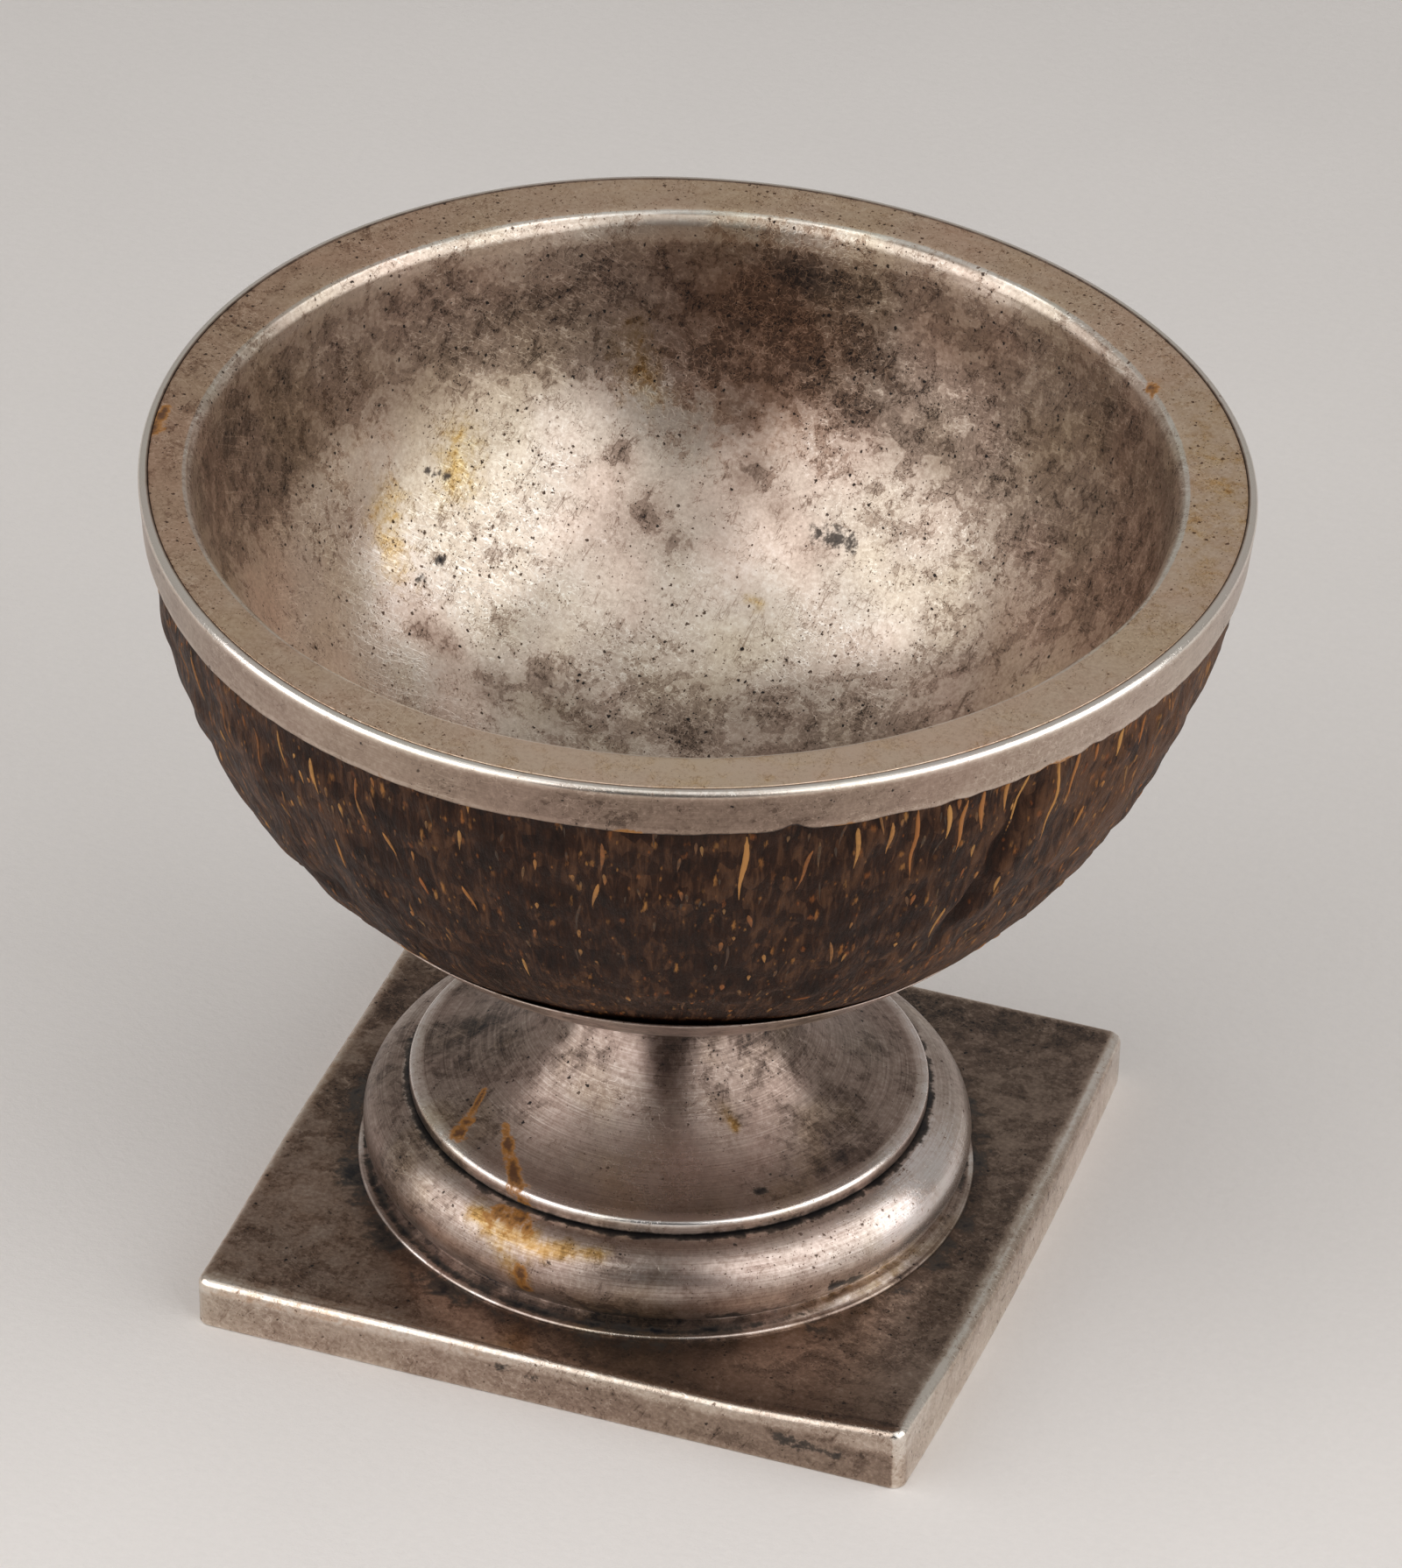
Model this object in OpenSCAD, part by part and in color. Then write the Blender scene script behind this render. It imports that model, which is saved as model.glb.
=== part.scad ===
/* [Plinth] */
// Side of the square plinth
plinth_side = 65.4; // [58:0.2:80]
// Height of the plinth's side walls
plinth_h = 5.1; // [4:0.1:8]
// Thickness of the plinth's sheet
plinth_wall = 1.2; // [0.8:0.1:2]
// Rounding of the plinth's upright corners
plinth_corner_r = 1.2; // [0.5:0.1:2.5]
// Rounding worn into the plinth's top edges
plinth_edge_r = 0.8; // [0.3:0.1:1]

/* [Foot ring] */
// Radius of the foot ring's half-round section
ring_section_r = 4; // [3:0.1:6]
// Thickness of the foot ring's sheet
ring_wall = 1; // [0.6:0.1:1.5]
// Width of the ring's flat seats, above and below
ring_seat_w = 2.5; // [2:0.1:4]
// Reach of the soldered lip beyond the half-round
ring_lip_w = 0.4; // [0.2:0.1:1]
// Height of the soldered lip
ring_lip_h = 0.5; // [0.3:0.1:1]

/* [Pedestal] */
// Diameter of the pedestal's disc edge
disc_d = 46; // [40:0.5:52]
// Height of the disc's upright edge
disc_edge_h = 1.5; // [1:0.1:2.5]
// Width of the disc's solid edge
disc_edge_w = 2; // [1.5:0.1:3]
// Height of the pedestal from the ring to the bowl
pedestal_h = 16; // [13:0.5:24]
// Diameter of the neck under the bowl
neck_d = 14.6; // [12:0.2:18]
// Radius of the trumpet's hollow curve
flare_r = 19; // [16:0.5:26]
// Thickness of the pedestal's sheet
pedestal_wall = 1; // [0.6:0.1:1.5]
// Thickness of the plate that closes the neck
neck_plate_t = 1.5; // [1:0.1:2.5]

/* [Calyx] */
// Diameter of the dish's inner edge
calyx_d = 63; // [50:0.2:70]
// Thickness of the dish
calyx_wall = 0.8; // [0.5:0.1:1.5]
// How much rounder the dish is than the shell, in radius
calyx_spread = 0.6; // [0.2:0.1:2]
// Gap between the dish and the shell's bottom
calyx_clear = 0.1; // [0.05:0.05:0.3]

/* [Coconut shell] */
// Outside diameter of the shell
shell_d = 94; // [80:1:110]
// Depth of the shell from its cut edge to its bottom
shell_depth = 46.4; // [40:0.2:47]
// Thickness of the shell
shell_wall = 3.6; // [2.5:0.1:5]
// Depth of the flat that is cut inside for the washer
seat_sink = 0.4; // [0.2:0.1:1]

/* [Liner] */
// Thickness of the liner's sheet
liner_wall = 0.9; // [0.6:0.1:1.5]
// Gap between the liner and the shell at the rim
liner_clear = 0.6; // [0.3:0.1:1.5]
// Radius of the bend from the bowl into the flange
lip_r = 1.6; // [1.2:0.1:2.5]
// Gap between the liner's bottom and the bolt's end
liner_lift = 0.6; // [0.3:0.1:2]

/* [Collar] */
// Height of the collar round the rim
collar_h = 4.4; // [3:0.1:7]
// Thickness of the collar at its top
collar_wall = 0.8; // [0.6:0.1:1.5]
// Thickness of the collar at its lower edge
collar_foot_wall = 0.6; // [0.4:0.1:1.5]
// Gap between the collar and the shell
collar_clear = 0.2; // [0.1:0.05:0.5]
// Rounding of the rim's outer edge
rim_edge_r = 0.5; // [0.2:0.05:0.6]

/* [Fixing] */
// Diameter of the bolt
bolt_d = 4; // [3:0.1:5]
// Diameter of the bolt's head
bolt_head_d = 8; // [6.5:0.1:10]
// Height of the bolt's head
bolt_head_h = 1.4; // [1:0.1:2.5]
// Length of the bolt that stands above the nut
bolt_end = 0.4; // [0.2:0.1:1.5]
// Gap round the bolt in the pieces that it passes through
bolt_clear = 0.15; // [0.1:0.05:0.4]
// Gap round the bolt in the nut's thread
thread_clear = 0.05; // [0.02:0.01:0.1]
// Diameter of the washer
washer_d = 11; // [9:0.5:14]
// Thickness of the washer
washer_t = 0.7; // [0.5:0.1:1.5]
// Nut, across its flats
nut_af = 7; // [6:0.5:9]
// Thickness of the nut
nut_h = 2.2; // [1.5:0.1:3.5]
// Gap round the washer in its flat
washer_clear = 0.5; // [0.2:0.1:1]
// Gap left for the solder between fitted curves
solder_gap = 0.05; // [0.02:0.01:0.1]

/* [Hidden] */
$fn = 96;
// Overrun of cutting shapes past the faces that they cut
cut = 1;

// Heights of the stack, from the table to the rim
ring_top_z = plinth_h + 2 * ring_section_r;
disc_top_z = ring_top_z + disc_edge_h;
calyx_out_z = ring_top_z + pedestal_h;
calyx_in_z = calyx_out_z + calyx_wall;
shell_bottom_z = calyx_in_z + calyx_clear;
shell_edge_z = shell_bottom_z + shell_depth;
rim_z = shell_edge_z + liner_wall;

// Radii of the round pieces
disc_r = disc_d / 2;
neck_r = neck_d / 2;
foot_bore_r = disc_r - ring_seat_w;
shell_r = shell_d / 2;
shell_in_r = shell_r - shell_wall;
shell_z = shell_bottom_z + shell_r;
calyx_r = shell_r + calyx_spread;
calyx_z = calyx_in_z + calyx_r;
collar_in_r = shell_r + collar_clear;
rim_r = collar_in_r + collar_wall;
bolt_hole_r = bolt_d / 2 + bolt_clear;

// The fixing's stack above the shell's flat
seat_z = shell_bottom_z + shell_wall - seat_sink;
nut_z = seat_z + washer_t;
bolt_top_z = nut_z + nut_h + bolt_end;

// The liner's bowl is a ball that passes through the mouth's edge and the bowl's bottom
bowl_bottom_z = bolt_top_z + liner_lift + liner_wall;
bowl_depth = rim_z - bowl_bottom_z;
mouth_r = shell_in_r - liner_clear - liner_wall;
bowl_r = (mouth_r ^ 2 + bowl_depth ^ 2) / (2 * bowl_depth);
bowl_z = bowl_bottom_z + bowl_r;
lip_z = rim_z - lip_r;
lip_x = sqrt((bowl_r + lip_r) ^ 2 - (bowl_z - lip_z) ^ 2);
// Angle by which the lip's bend laps over the sheet at its two ends
lip_lap = 6;
flange_r = collar_in_r - solder_gap;

// The trumpet's curve is an arc through the disc's edge and the neck's top
flare_span = [neck_r - disc_r, calyx_out_z - disc_top_z];
flare_rise = sqrt(flare_r ^ 2 - (norm(flare_span) / 2) ^ 2) / norm(flare_span);
flare_x = (disc_r + neck_r) / 2 + flare_span[1] * flare_rise;
flare_z = (disc_top_z + calyx_out_z) / 2 - flare_span[0] * flare_rise;

// Radius of the shell's outside at a height
function shell_out_r(z) = sqrt(shell_r ^ 2 - (z - shell_z) ^ 2);

// Outline of a slab whose corners are rounded, from zero to a height
module rounded_slab(width, height, corner) {
    translate([-width / 2, 0])
        square([width, height - corner]);
    translate([-width / 2 + corner, 0])
        square([width - 2 * corner, height]);
    for (side = [-1, 1])
        translate([side * (width / 2 - corner), height - corner])
            circle(corner);
}

// Outline of a square whose four corners are rounded
module rounded_square(width, corner) {
    square([width, width - 2 * corner], center = true);
    square([width - 2 * corner, width], center = true);
    for (x = [-1, 1], y = [-1, 1])
        translate([x, y] * (width / 2 - corner))
            circle(corner);
}

// Half outline of a band between two circles on the axis, below the ray from their centre through a point
module bowl_band(inner, outer, centre_z, point) {
    far = 3 * outer * [point[0], point[1] - centre_z] / norm([point[0], point[1] - centre_z]);
    translate([0, centre_z])
        intersection() {
            difference() {
                circle(outer);
                circle(inner);
            }
            polygon([[0, 0], far, [far[0], -3 * outer], [0, -3 * outer]]);
        }
}

// A raised tray of sheet, open below, with worn top edges and a round opening under the foot
module plinth() {
    color([0.46, 0.43, 0.40])
        difference() {
            intersection() {
                linear_extrude(plinth_h)
                    rounded_square(plinth_side, plinth_corner_r);
                for (turn = [0, 90])
                    rotate([90, 0, turn])
                        linear_extrude(plinth_side, center = true)
                            rounded_slab(plinth_side, plinth_h, plinth_edge_r);
            }
            translate([0, 0, -cut])
                linear_extrude(plinth_h - plinth_wall + cut)
                    square(plinth_side - 2 * plinth_wall, center = true);
            cylinder(h = plinth_h + cut, r = foot_bore_r);
        }
}

// A half-round moulding of sheet with flat seats inside, and the lip of solder at its base
module foot_ring() {
    color([0.60, 0.57, 0.54])
        rotate_extrude() {
            difference() {
                ring_section(0);
                ring_section(ring_wall);
            }
            translate([disc_r, plinth_h])
                square([ring_section_r + ring_lip_w, ring_lip_h]);
        }
}

// The ring's section, drawn in by an inset and open towards the axis
module ring_section(inset) {
    section_r = ring_section_r - inset;
    reach = inset > 0 ? cut : 0;
    translate([foot_bore_r - reach, plinth_h + inset])
        square([ring_seat_w + reach, 2 * section_r]);
    translate([disc_r, plinth_h + ring_section_r])
        intersection() {
            circle(section_r);
            translate([0, -section_r])
                square([section_r, 2 * section_r]);
        }
}

// A hollow trumpet on a thick-edged disc, closed at the neck by a plate that the bolt pulls on
module pedestal() {
    color([0.55, 0.52, 0.50])
        difference() {
            rotate_extrude()
                difference() {
                    translate([0, ring_top_z])
                        square([disc_r, pedestal_h + cut]);
                    translate([flare_x, flare_z])
                        circle(flare_r);
                    trumpet_inside();
                }
            translate([0, 0, calyx_z])
                sphere(calyx_r + calyx_wall + solder_gap);
            translate([0, 0, ring_top_z])
                cylinder(h = pedestal_h + cut, r = bolt_hole_r);
        }
}

// The hollow inside the trumpet, one sheet away from its curve
module trumpet_inside() {
    difference() {
        translate([0, ring_top_z - cut])
            square([disc_r - disc_edge_w, pedestal_h - neck_plate_t + cut]);
        translate([flare_x, flare_z])
            circle(flare_r + pedestal_wall);
    }
}

// A shallow dish that cups the shell's bottom, a little rounder than the shell
module calyx() {
    edge_x = calyx_d / 2;
    edge_z = calyx_z - sqrt(calyx_r ^ 2 - edge_x ^ 2);
    color([0.58, 0.55, 0.52])
        difference() {
            rotate_extrude()
                bowl_band(calyx_r, calyx_r + calyx_wall, calyx_z, [edge_x, edge_z]);
            translate([0, 0, calyx_out_z - cut])
                cylinder(h = calyx_wall + 2 * cut, r = bolt_hole_r);
        }
}

// The lower part of a coconut, cut level at the rim, with a flat and a hole inside for the bolt
module coconut_shell() {
    color([0.20, 0.14, 0.10])
        difference() {
            translate([0, 0, shell_z])
                difference() {
                    sphere(shell_r);
                    sphere(shell_in_r);
                }
            translate([-shell_d, -shell_d, shell_edge_z])
                cube([2 * shell_d, 2 * shell_d, shell_d]);
            translate([0, 0, seat_z])
                cylinder(h = 2 * shell_wall, r = washer_d / 2 + washer_clear);
            translate([0, 0, shell_bottom_z - cut])
                cylinder(h = 2 * shell_wall, r = bolt_hole_r);
        }
}

// A strip of metal round the shell's edge, whose top shows as the rim's outer edge
module rim_collar() {
    foot_z = rim_z - collar_h;
    foot_in_r = shell_out_r(foot_z) + collar_clear;
    color([0.66, 0.63, 0.60])
        rotate_extrude() {
            polygon([
                [collar_in_r, rim_z],
                [foot_in_r, foot_z],
                [foot_in_r + collar_foot_wall, foot_z],
                [rim_r, rim_z - rim_edge_r],
                [rim_r - rim_edge_r, rim_z - rim_edge_r],
                [rim_r - rim_edge_r, rim_z]
            ]);
            translate([rim_r - rim_edge_r, rim_z - rim_edge_r])
                intersection() {
                    circle(rim_edge_r);
                    square(rim_edge_r);
                }
        }
}

// A raised bowl of sheet with a rounded lip, and a flat flange that lies on the shell's edge
module bowl_liner() {
    color([0.68, 0.66, 0.62])
        rotate_extrude() {
            bowl_band(bowl_r, bowl_r + liner_wall, bowl_z, [lip_x, lip_z]);
            translate([lip_x, lip_z])
                lip_bend();
            translate([lip_x, shell_edge_z])
                square([flange_r - lip_x, liner_wall]);
        }
}

// Section of the lip, bent from the flange down to the bowl's wall
module lip_bend() {
    first = 90 - lip_lap;
    last = atan2(bowl_z - lip_z, -lip_x) + lip_lap;
    reach = 2 * lip_r;
    intersection() {
        difference() {
            circle(lip_r);
            circle(lip_r - liner_wall);
        }
        polygon([
            [0, 0],
            reach * [cos(first), sin(first)],
            [-reach, reach],
            reach * [cos(last), sin(last)]
        ]);
    }
}

// A bolt that hangs from the neck's plate by its head and passes through the dish and the shell
module fixing_bolt() {
    head_top_z = calyx_out_z - neck_plate_t;
    color([0.72, 0.60, 0.34])
        rotate_extrude() {
            translate([0, head_top_z - bolt_head_h])
                square([bolt_head_d / 2, bolt_head_h]);
            translate([0, head_top_z - bolt_head_h])
                square([bolt_d / 2, bolt_top_z - head_top_z + bolt_head_h]);
        }
}

// A flat washer on the shell's flat
module fixing_washer() {
    color([0.74, 0.62, 0.36])
        translate([0, 0, seat_z])
            difference() {
                cylinder(h = washer_t, r = washer_d / 2);
                translate([0, 0, -cut])
                    cylinder(h = washer_t + 2 * cut, r = bolt_hole_r);
            }
}

// A hexagon nut that clamps the shell down
module fixing_nut() {
    color([0.72, 0.60, 0.34])
        translate([0, 0, nut_z])
            difference() {
                cylinder(h = nut_h, r = nut_af / 2 / cos(30), $fn = 6);
                translate([0, 0, -cut])
                    cylinder(h = nut_h + 2 * cut, r = bolt_d / 2 + thread_clear);
            }
}

plinth();
foot_ring();
pedestal();
calyx();
coconut_shell();
rim_collar();
bowl_liner();
fixing_bolt();
fixing_washer();
fixing_nut();
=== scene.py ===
# A coconut cup mounted in old silver: its surfaces and finishes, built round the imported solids
import math

import bpy
import numpy as np
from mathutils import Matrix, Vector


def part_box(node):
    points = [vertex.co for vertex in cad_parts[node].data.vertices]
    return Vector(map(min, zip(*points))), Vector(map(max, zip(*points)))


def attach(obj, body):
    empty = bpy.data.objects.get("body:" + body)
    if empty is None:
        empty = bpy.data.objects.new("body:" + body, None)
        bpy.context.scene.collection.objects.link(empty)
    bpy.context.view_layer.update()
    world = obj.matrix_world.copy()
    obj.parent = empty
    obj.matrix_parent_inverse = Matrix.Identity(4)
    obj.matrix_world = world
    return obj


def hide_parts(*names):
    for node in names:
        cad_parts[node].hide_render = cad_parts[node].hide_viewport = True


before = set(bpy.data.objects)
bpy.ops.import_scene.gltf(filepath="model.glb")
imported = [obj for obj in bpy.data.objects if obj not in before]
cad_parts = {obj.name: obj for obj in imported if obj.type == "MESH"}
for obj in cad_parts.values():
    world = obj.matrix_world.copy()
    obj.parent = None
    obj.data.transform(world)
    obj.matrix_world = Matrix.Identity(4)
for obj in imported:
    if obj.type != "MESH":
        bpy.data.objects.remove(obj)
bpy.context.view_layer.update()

print("frame loaded:", ", ".join(sorted(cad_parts)))

tau = 2 * math.pi
toMetres = 0.001  # every size and place below is in millimetres


def reach(node):
    # outer radius, lowest height and highest height of one solid of the frame
    low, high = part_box(node)
    return (high.x - low.x) / 2 / toMetres, low.z / toMetres, high.z / toMetres


# Profiles: points in the plane of the axis, distance from the axis first, then height


def arc(centre, radius, start, end, count):
    # points on a circle, from one angle in degrees to another
    turn = np.radians(np.linspace(start, end, count))
    return np.stack([centre[0] + radius * np.cos(turn), centre[1] + radius * np.sin(turn)], 1)


def rounding(x, y, radius, start, count):
    # a square corner rounded off: the quarter circle that begins at a multiple of 90 degrees
    turn = math.radians(start + 45)
    centre = (x - math.copysign(radius, math.cos(turn)), y - math.copysign(radius, math.sin(turn)))
    return arc(centre, radius, start, start + 90, count)


def straight(start, end, count):
    return np.linspace(start, end, count)


def joined(*stretches):
    # stretches end to end, each shared point once
    points = np.concatenate(stretches)
    step = np.linalg.norm(np.diff(points, axis=0), axis=1)
    return points[np.append(True, step > 1e-5)]


def measured(profile):
    # of each point, as columns: length along the profile, distance from the axis and height
    step = np.linalg.norm(np.diff(profile, axis=0), axis=1)
    return np.append(0, np.cumsum(step))[:, None], profile[:, :1], profile[:, 1:]


def outwardOf(profile, loop):
    # unit normals, to the right of a profile that has its solid on the left
    if loop:
        ahead = np.roll(profile, -1, 0) - np.roll(profile, 1, 0)
    else:
        ahead = np.gradient(profile, axis=0)
    side = np.stack([ahead[:, 1], -ahead[:, 0]], 1)
    return side / np.maximum(np.linalg.norm(side, axis=1, keepdims=True), 1e-9)


def around(count):
    # evenly spaced angles round the axis, as one row
    return np.linspace(0, tau, count, endpoint=False)[None, :]


def bell(value, middle, width):
    # 1 at the middle, falling off to either side over about one width
    return np.exp(-((value - middle) / width) ** 2)


def ease(value, low, high):
    # 0 below low, 1 above high, smooth between
    share = np.clip((value - low) / (high - low), 0, 1)
    return share * share * (3 - 2 * share)


def turnFrom(theta, degrees):
    # signed angle in degrees from a place round the axis
    return (np.degrees(theta) - degrees + 180) % 360 - 180


def lobe(theta, degrees, width):
    # 1 at a place round the axis, falling off to either side over about one width, in degrees
    return bell(turnFrom(theta, degrees), 0, width)


def lobes(theta, start, places):
    # a value that changes in lobes round the axis, each with a height, a place and a width in degrees
    return sum((height * lobe(theta, degrees, width) for height, degrees, width in places), start)


def ripple(theta, along, waves, mostAround, shortest, seed):
    # sum of cosines, each with a whole count round the axis and a random run along the profile, about -1 to 1
    draw = np.random.default_rng(seed)
    total = 0
    for _ in range(waves):
        turns = draw.integers(-mostAround, mostAround + 1)
        pace = draw.uniform(-1, 1) * tau / shortest
        total = total + np.cos(turns * theta + pace * along + draw.uniform(0, tau))
    return total / math.sqrt(waves)


def turned(profile, theta, push=0, loop=True, oval=0, shift=(0, 0)):
    # profile carried round the axis: moved along its normal by push, outward by oval and aside by shift
    side = outwardOf(profile, loop)
    radius = profile[:, :1] + side[:, :1] * push + oval
    height = profile[:, 1:] + side[:, 1:] * push + 0 * theta
    return np.stack([radius * np.cos(theta) + shift[0], radius * np.sin(theta) + shift[1], height], -1)


def meshOf(name, points, faces, marks):
    # smooth mesh of points in millimetres, with each mark as an attribute of its points
    mesh = bpy.data.meshes.new(name)
    mesh.from_pydata((points * toMetres).tolist(), [], faces)
    mesh.polygons.foreach_set("use_smooth", np.ones(len(faces), bool))
    for mark, values in marks.items():
        wide = values.shape[1] == 3
        layer = mesh.attributes.new(mark, "FLOAT_VECTOR" if wide else "FLOAT", "POINT")
        layer.data.foreach_set("vector" if wide else "value", values.astype(np.float32).ravel())
    return mesh


def surface(name, grid, loop, marks):
    # mesh of a grid of points: columns close round the axis, rows form a loop or end in a pole at both ends
    rows, columns = grid.shape[:2]

    def listed(values):
        # one entry for each point, and for each pole the mean of the row beside it
        values = np.broadcast_to(values, (rows, columns) + values.shape[2:]).reshape(rows, columns, -1)
        poles = [] if loop else [values[:1].mean(1), values[-1:].mean(1)]
        return np.concatenate([values.reshape(rows * columns, -1), *poles])

    points = listed(grid)
    index = np.arange(rows * columns).reshape(rows, columns)
    first = index if loop else index[:-1]
    second = np.roll(index, -1, 0) if loop else index[1:]
    quads = np.stack([first, np.roll(first, -1, 1), np.roll(second, -1, 1), second], -1).reshape(-1, 4)
    fans = np.zeros((0, 3), int)
    if not loop:
        pole = np.full(columns, index.size)
        bottom = np.stack([pole, np.roll(index[0], -1), index[0]], 1)
        top = np.stack([index[-1], np.roll(index[-1], -1), pole + 1], 1)
        fans = np.concatenate([bottom, top])
    corner = points[quads]
    halves = np.concatenate([corner[:, [0, 1, 2]], corner[:, [0, 2, 3]], points[fans]])
    volume = np.einsum("ij,ij->i", halves[:, 0], np.cross(halves[:, 1], halves[:, 2])).sum()
    if volume < 0:  # faces look outward
        quads, fans = quads[:, ::-1], fans[:, ::-1]
    marks = {mark: listed(values) for mark, values in marks.items()}
    return meshOf(name, points, quads.tolist() + fans.tolist(), marks)


def grainOf(theta, along, radius):
    # a place that follows the surface: round a circle of one radius, and up by the length along the profile
    along = along + 0 * theta
    return np.stack([radius * np.cos(theta) + 0 * along, radius * np.sin(theta) + 0 * along, along], -1)


def streaks(grid, runs):
    # how deep each point lies in streaks that taper from one place to another: 1 on the line, 0 outside
    deepest = np.zeros(grid.shape[:2])
    for start, end, startRadius, endRadius in runs:
        start = np.array(start)
        run = np.array(end) - start
        share = np.clip((grid - start) @ run / max(run @ run, 1e-6), 0, 1)
        gap = np.linalg.norm(grid - start - share[..., None] * run, axis=-1)
        deepest = np.maximum(deepest, 1 - gap / (startRadius + (endRadius - startRadius) * share))
    return np.maximum(deepest, 0)


def stained(grid, places):
    # the marks of a piece's own streaks of stain
    return {kind: streaks(grid, places[kind]) for kind in ("rust", "gold", "soot") if kind in places}


def blots(grid, spots):
    # sum of soft round spots, each with a place, a radius and a height
    depth = np.zeros(grid.shape[:2])
    for centre, size, height in spots:
        depth = depth + height * np.exp(-(np.linalg.norm(grid - np.array(centre), axis=-1) / size) ** 2)
    return depth


def placed(name, data):
    thing = bpy.data.objects.new(name, data)
    bpy.context.scene.collection.objects.link(thing)
    return thing


def piece(name, mesh, finish, node):
    # puts a mesh in the scene, in place of one solid of the frame if it has a node
    thing = placed(name, mesh)
    mesh.materials.append(finish)
    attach(thing, "root")
    if node:
        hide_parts(node)
    print(name, "made,", len(mesh.polygons), "faces")


# Node helpers: they add to the tree that newFinish started last, and most give back an output to plug in


def feed(socket, value):
    if isinstance(value, bpy.types.NodeSocket):
        tree.links.new(value, socket)
    elif value is not None:
        socket.default_value = value


def add(kind, sockets, **settings):
    node = tree.nodes.new("ShaderNode" + kind)
    for key, value in settings.items():
        setattr(node, key, value)
    for key, value in sockets.items():
        feed(node.inputs[key], value)
    return node


def noise(place, scale, detail=3, roughness=0.55, twist=0):
    sockets = {"Vector": place, "Scale": scale, "Detail": detail, "Roughness": roughness, "Distortion": twist}
    return add("TexNoise", sockets).outputs["Fac"]


def level(value, low, high, bottom=0, top=1, curve="SMOOTHSTEP"):
    # a value that runs from bottom to top while the given one runs from low to high
    sockets = {"Value": value, "From Min": low, "From Max": high, "To Min": bottom, "To Max": top}
    return add("MapRange", sockets, interpolation_type=curve).outputs["Result"]


def sums(operation, first, second=None, third=None):
    return add("Math", {0: first, 1: second, 2: third}, operation=operation).outputs[0]


def total(*parts):
    value = parts[0]
    for part in parts[1:]:
        value = sums("ADD", value, part)
    return value


def scaled(value, by):
    return sums("MULTIPLY", value, by)


def about(value, by):
    # a noise's swing about its middle, times by
    return sums("MULTIPLY_ADD", value, by, -0.5 * by)


def tint(amount, under, over, way="MIX"):
    node = add("Mix", {0: amount, 6: under, 7: over}, data_type="RGBA", blend_type=way)
    return node.outputs[2]


def ramp(value, stops):
    node = add("ValToRGB", {"Fac": value})
    band = node.color_ramp
    while len(band.elements) < len(stops):
        band.elements.new(0.5)
    for element, (spot, shade) in zip(band.elements, stops):
        element.position = spot
        element.color = (*shade, 1)
    return node.outputs["Color"]


def stretched(place, scale, turn=(0, 0, 0)):
    sockets = {"Vector": place, "Rotation": [math.radians(a) for a in turn], "Scale": scale}
    return add("Mapping", sockets).outputs["Vector"]


def cells(place, scale):
    # a random net: distance from the middle of a cell, and two draws for each cell
    node = add("TexVoronoi", {"Vector": place, "Scale": scale, "Randomness": 1})
    draws = add("SeparateColor", {"Color": node.outputs["Color"]}).outputs
    return node.outputs["Distance"], draws["Red"], draws["Green"]


def mark(name, wide=False):
    node = add("Attribute", {}, attribute_name=name)
    return node.outputs["Vector" if wide else "Fac"]


def plug(shader, values):
    for key, value in values.items():
        feed(shader.inputs[key], value)


def bumped(shader, strength, depth, height):
    # raises a finish by a height that runs from 0 to 1, over a depth in millimetres
    node = add("Bump", {"Strength": strength, "Distance": depth * toMetres, "Height": height})
    feed(shader.inputs["Normal"], node.outputs["Normal"])


def newFinish(name):
    # starts a material: itself, its shader and a vector that measures the piece in millimetres
    global tree
    material = bpy.data.materials.new(name)
    material.use_nodes = True
    tree = material.node_tree
    shader = tree.nodes["Principled BSDF"]
    where = add("TexCoord", {}).outputs["Object"]
    place = add("VectorMath", {0: where, 3: 1 / toMetres}, operation="SCALE").outputs["Vector"]
    return material, shader, place


silverShades = [  # from polished metal through brown film to black tarnish
    (0.00, (0.88, 0.84, 0.79)),
    (0.25, (0.64, 0.55, 0.475)),
    (0.50, (0.37, 0.285, 0.232)),
    (0.75, (0.155, 0.110, 0.086)),
    (1.00, (0.020, 0.017, 0.017)),
]
stains = {  # deep shade, pale shade, way of laying it on, strength, loss of metal, raggedness, full depth
    "warm": ((1.0, 0.81, 0.68, 1), (1.0, 0.83, 0.70, 1), "MULTIPLY", 1.0, 0.0, 0.5, 0.55),
    "gold": ((1.0, 0.76, 0.30, 1), (1.0, 0.93, 0.70, 1), "MULTIPLY", 0.95, 0.0, 1.5, 0.85),
    "rust": ((0.09, 0.030, 0.005, 1), (0.36, 0.145, 0.018, 1), "MIX", 0.95, 0.8, 2.2, 0.62),
    # real soot, and painted shade under the foot ring's round
    "soot": ((0.012, 0.013, 0.016, 1), (0.075, 0.060, 0.050, 1), "MIX", 0.94, 0.25, 2.6, 0.55),
}
oldSilver = {  # what the silvers have in common; each look changes some of it
    "mottleSize": 2.0, "dust": 0.1, "turned": 0.0, "lines": 0.0, "brushed": 0.0, "speckGap": 0.6, "pit": 0.4,
    "scratch": 0.14, "scratchWidth": 0.012, "paleScratches": [(0, 20, 35), (60, 10, -50)],
    "darkScratches": [(10, 60, 10)], "bump": 0.3, "hueSize": 12.0,
}


def specks(place, gap, chance, ragged):
    # dark specks in some cells of a random net, each with its own size and a ragged edge
    distance, pick, size = cells(place, 1 / gap)
    chosen = level(total(pick, chance), 0.96, 1.04)
    edge = total(distance, about(ragged, 0.9), scaled(size, -0.22))
    return scaled(level(edge, 0.0, 0.10, 1, 0), chosen)


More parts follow.
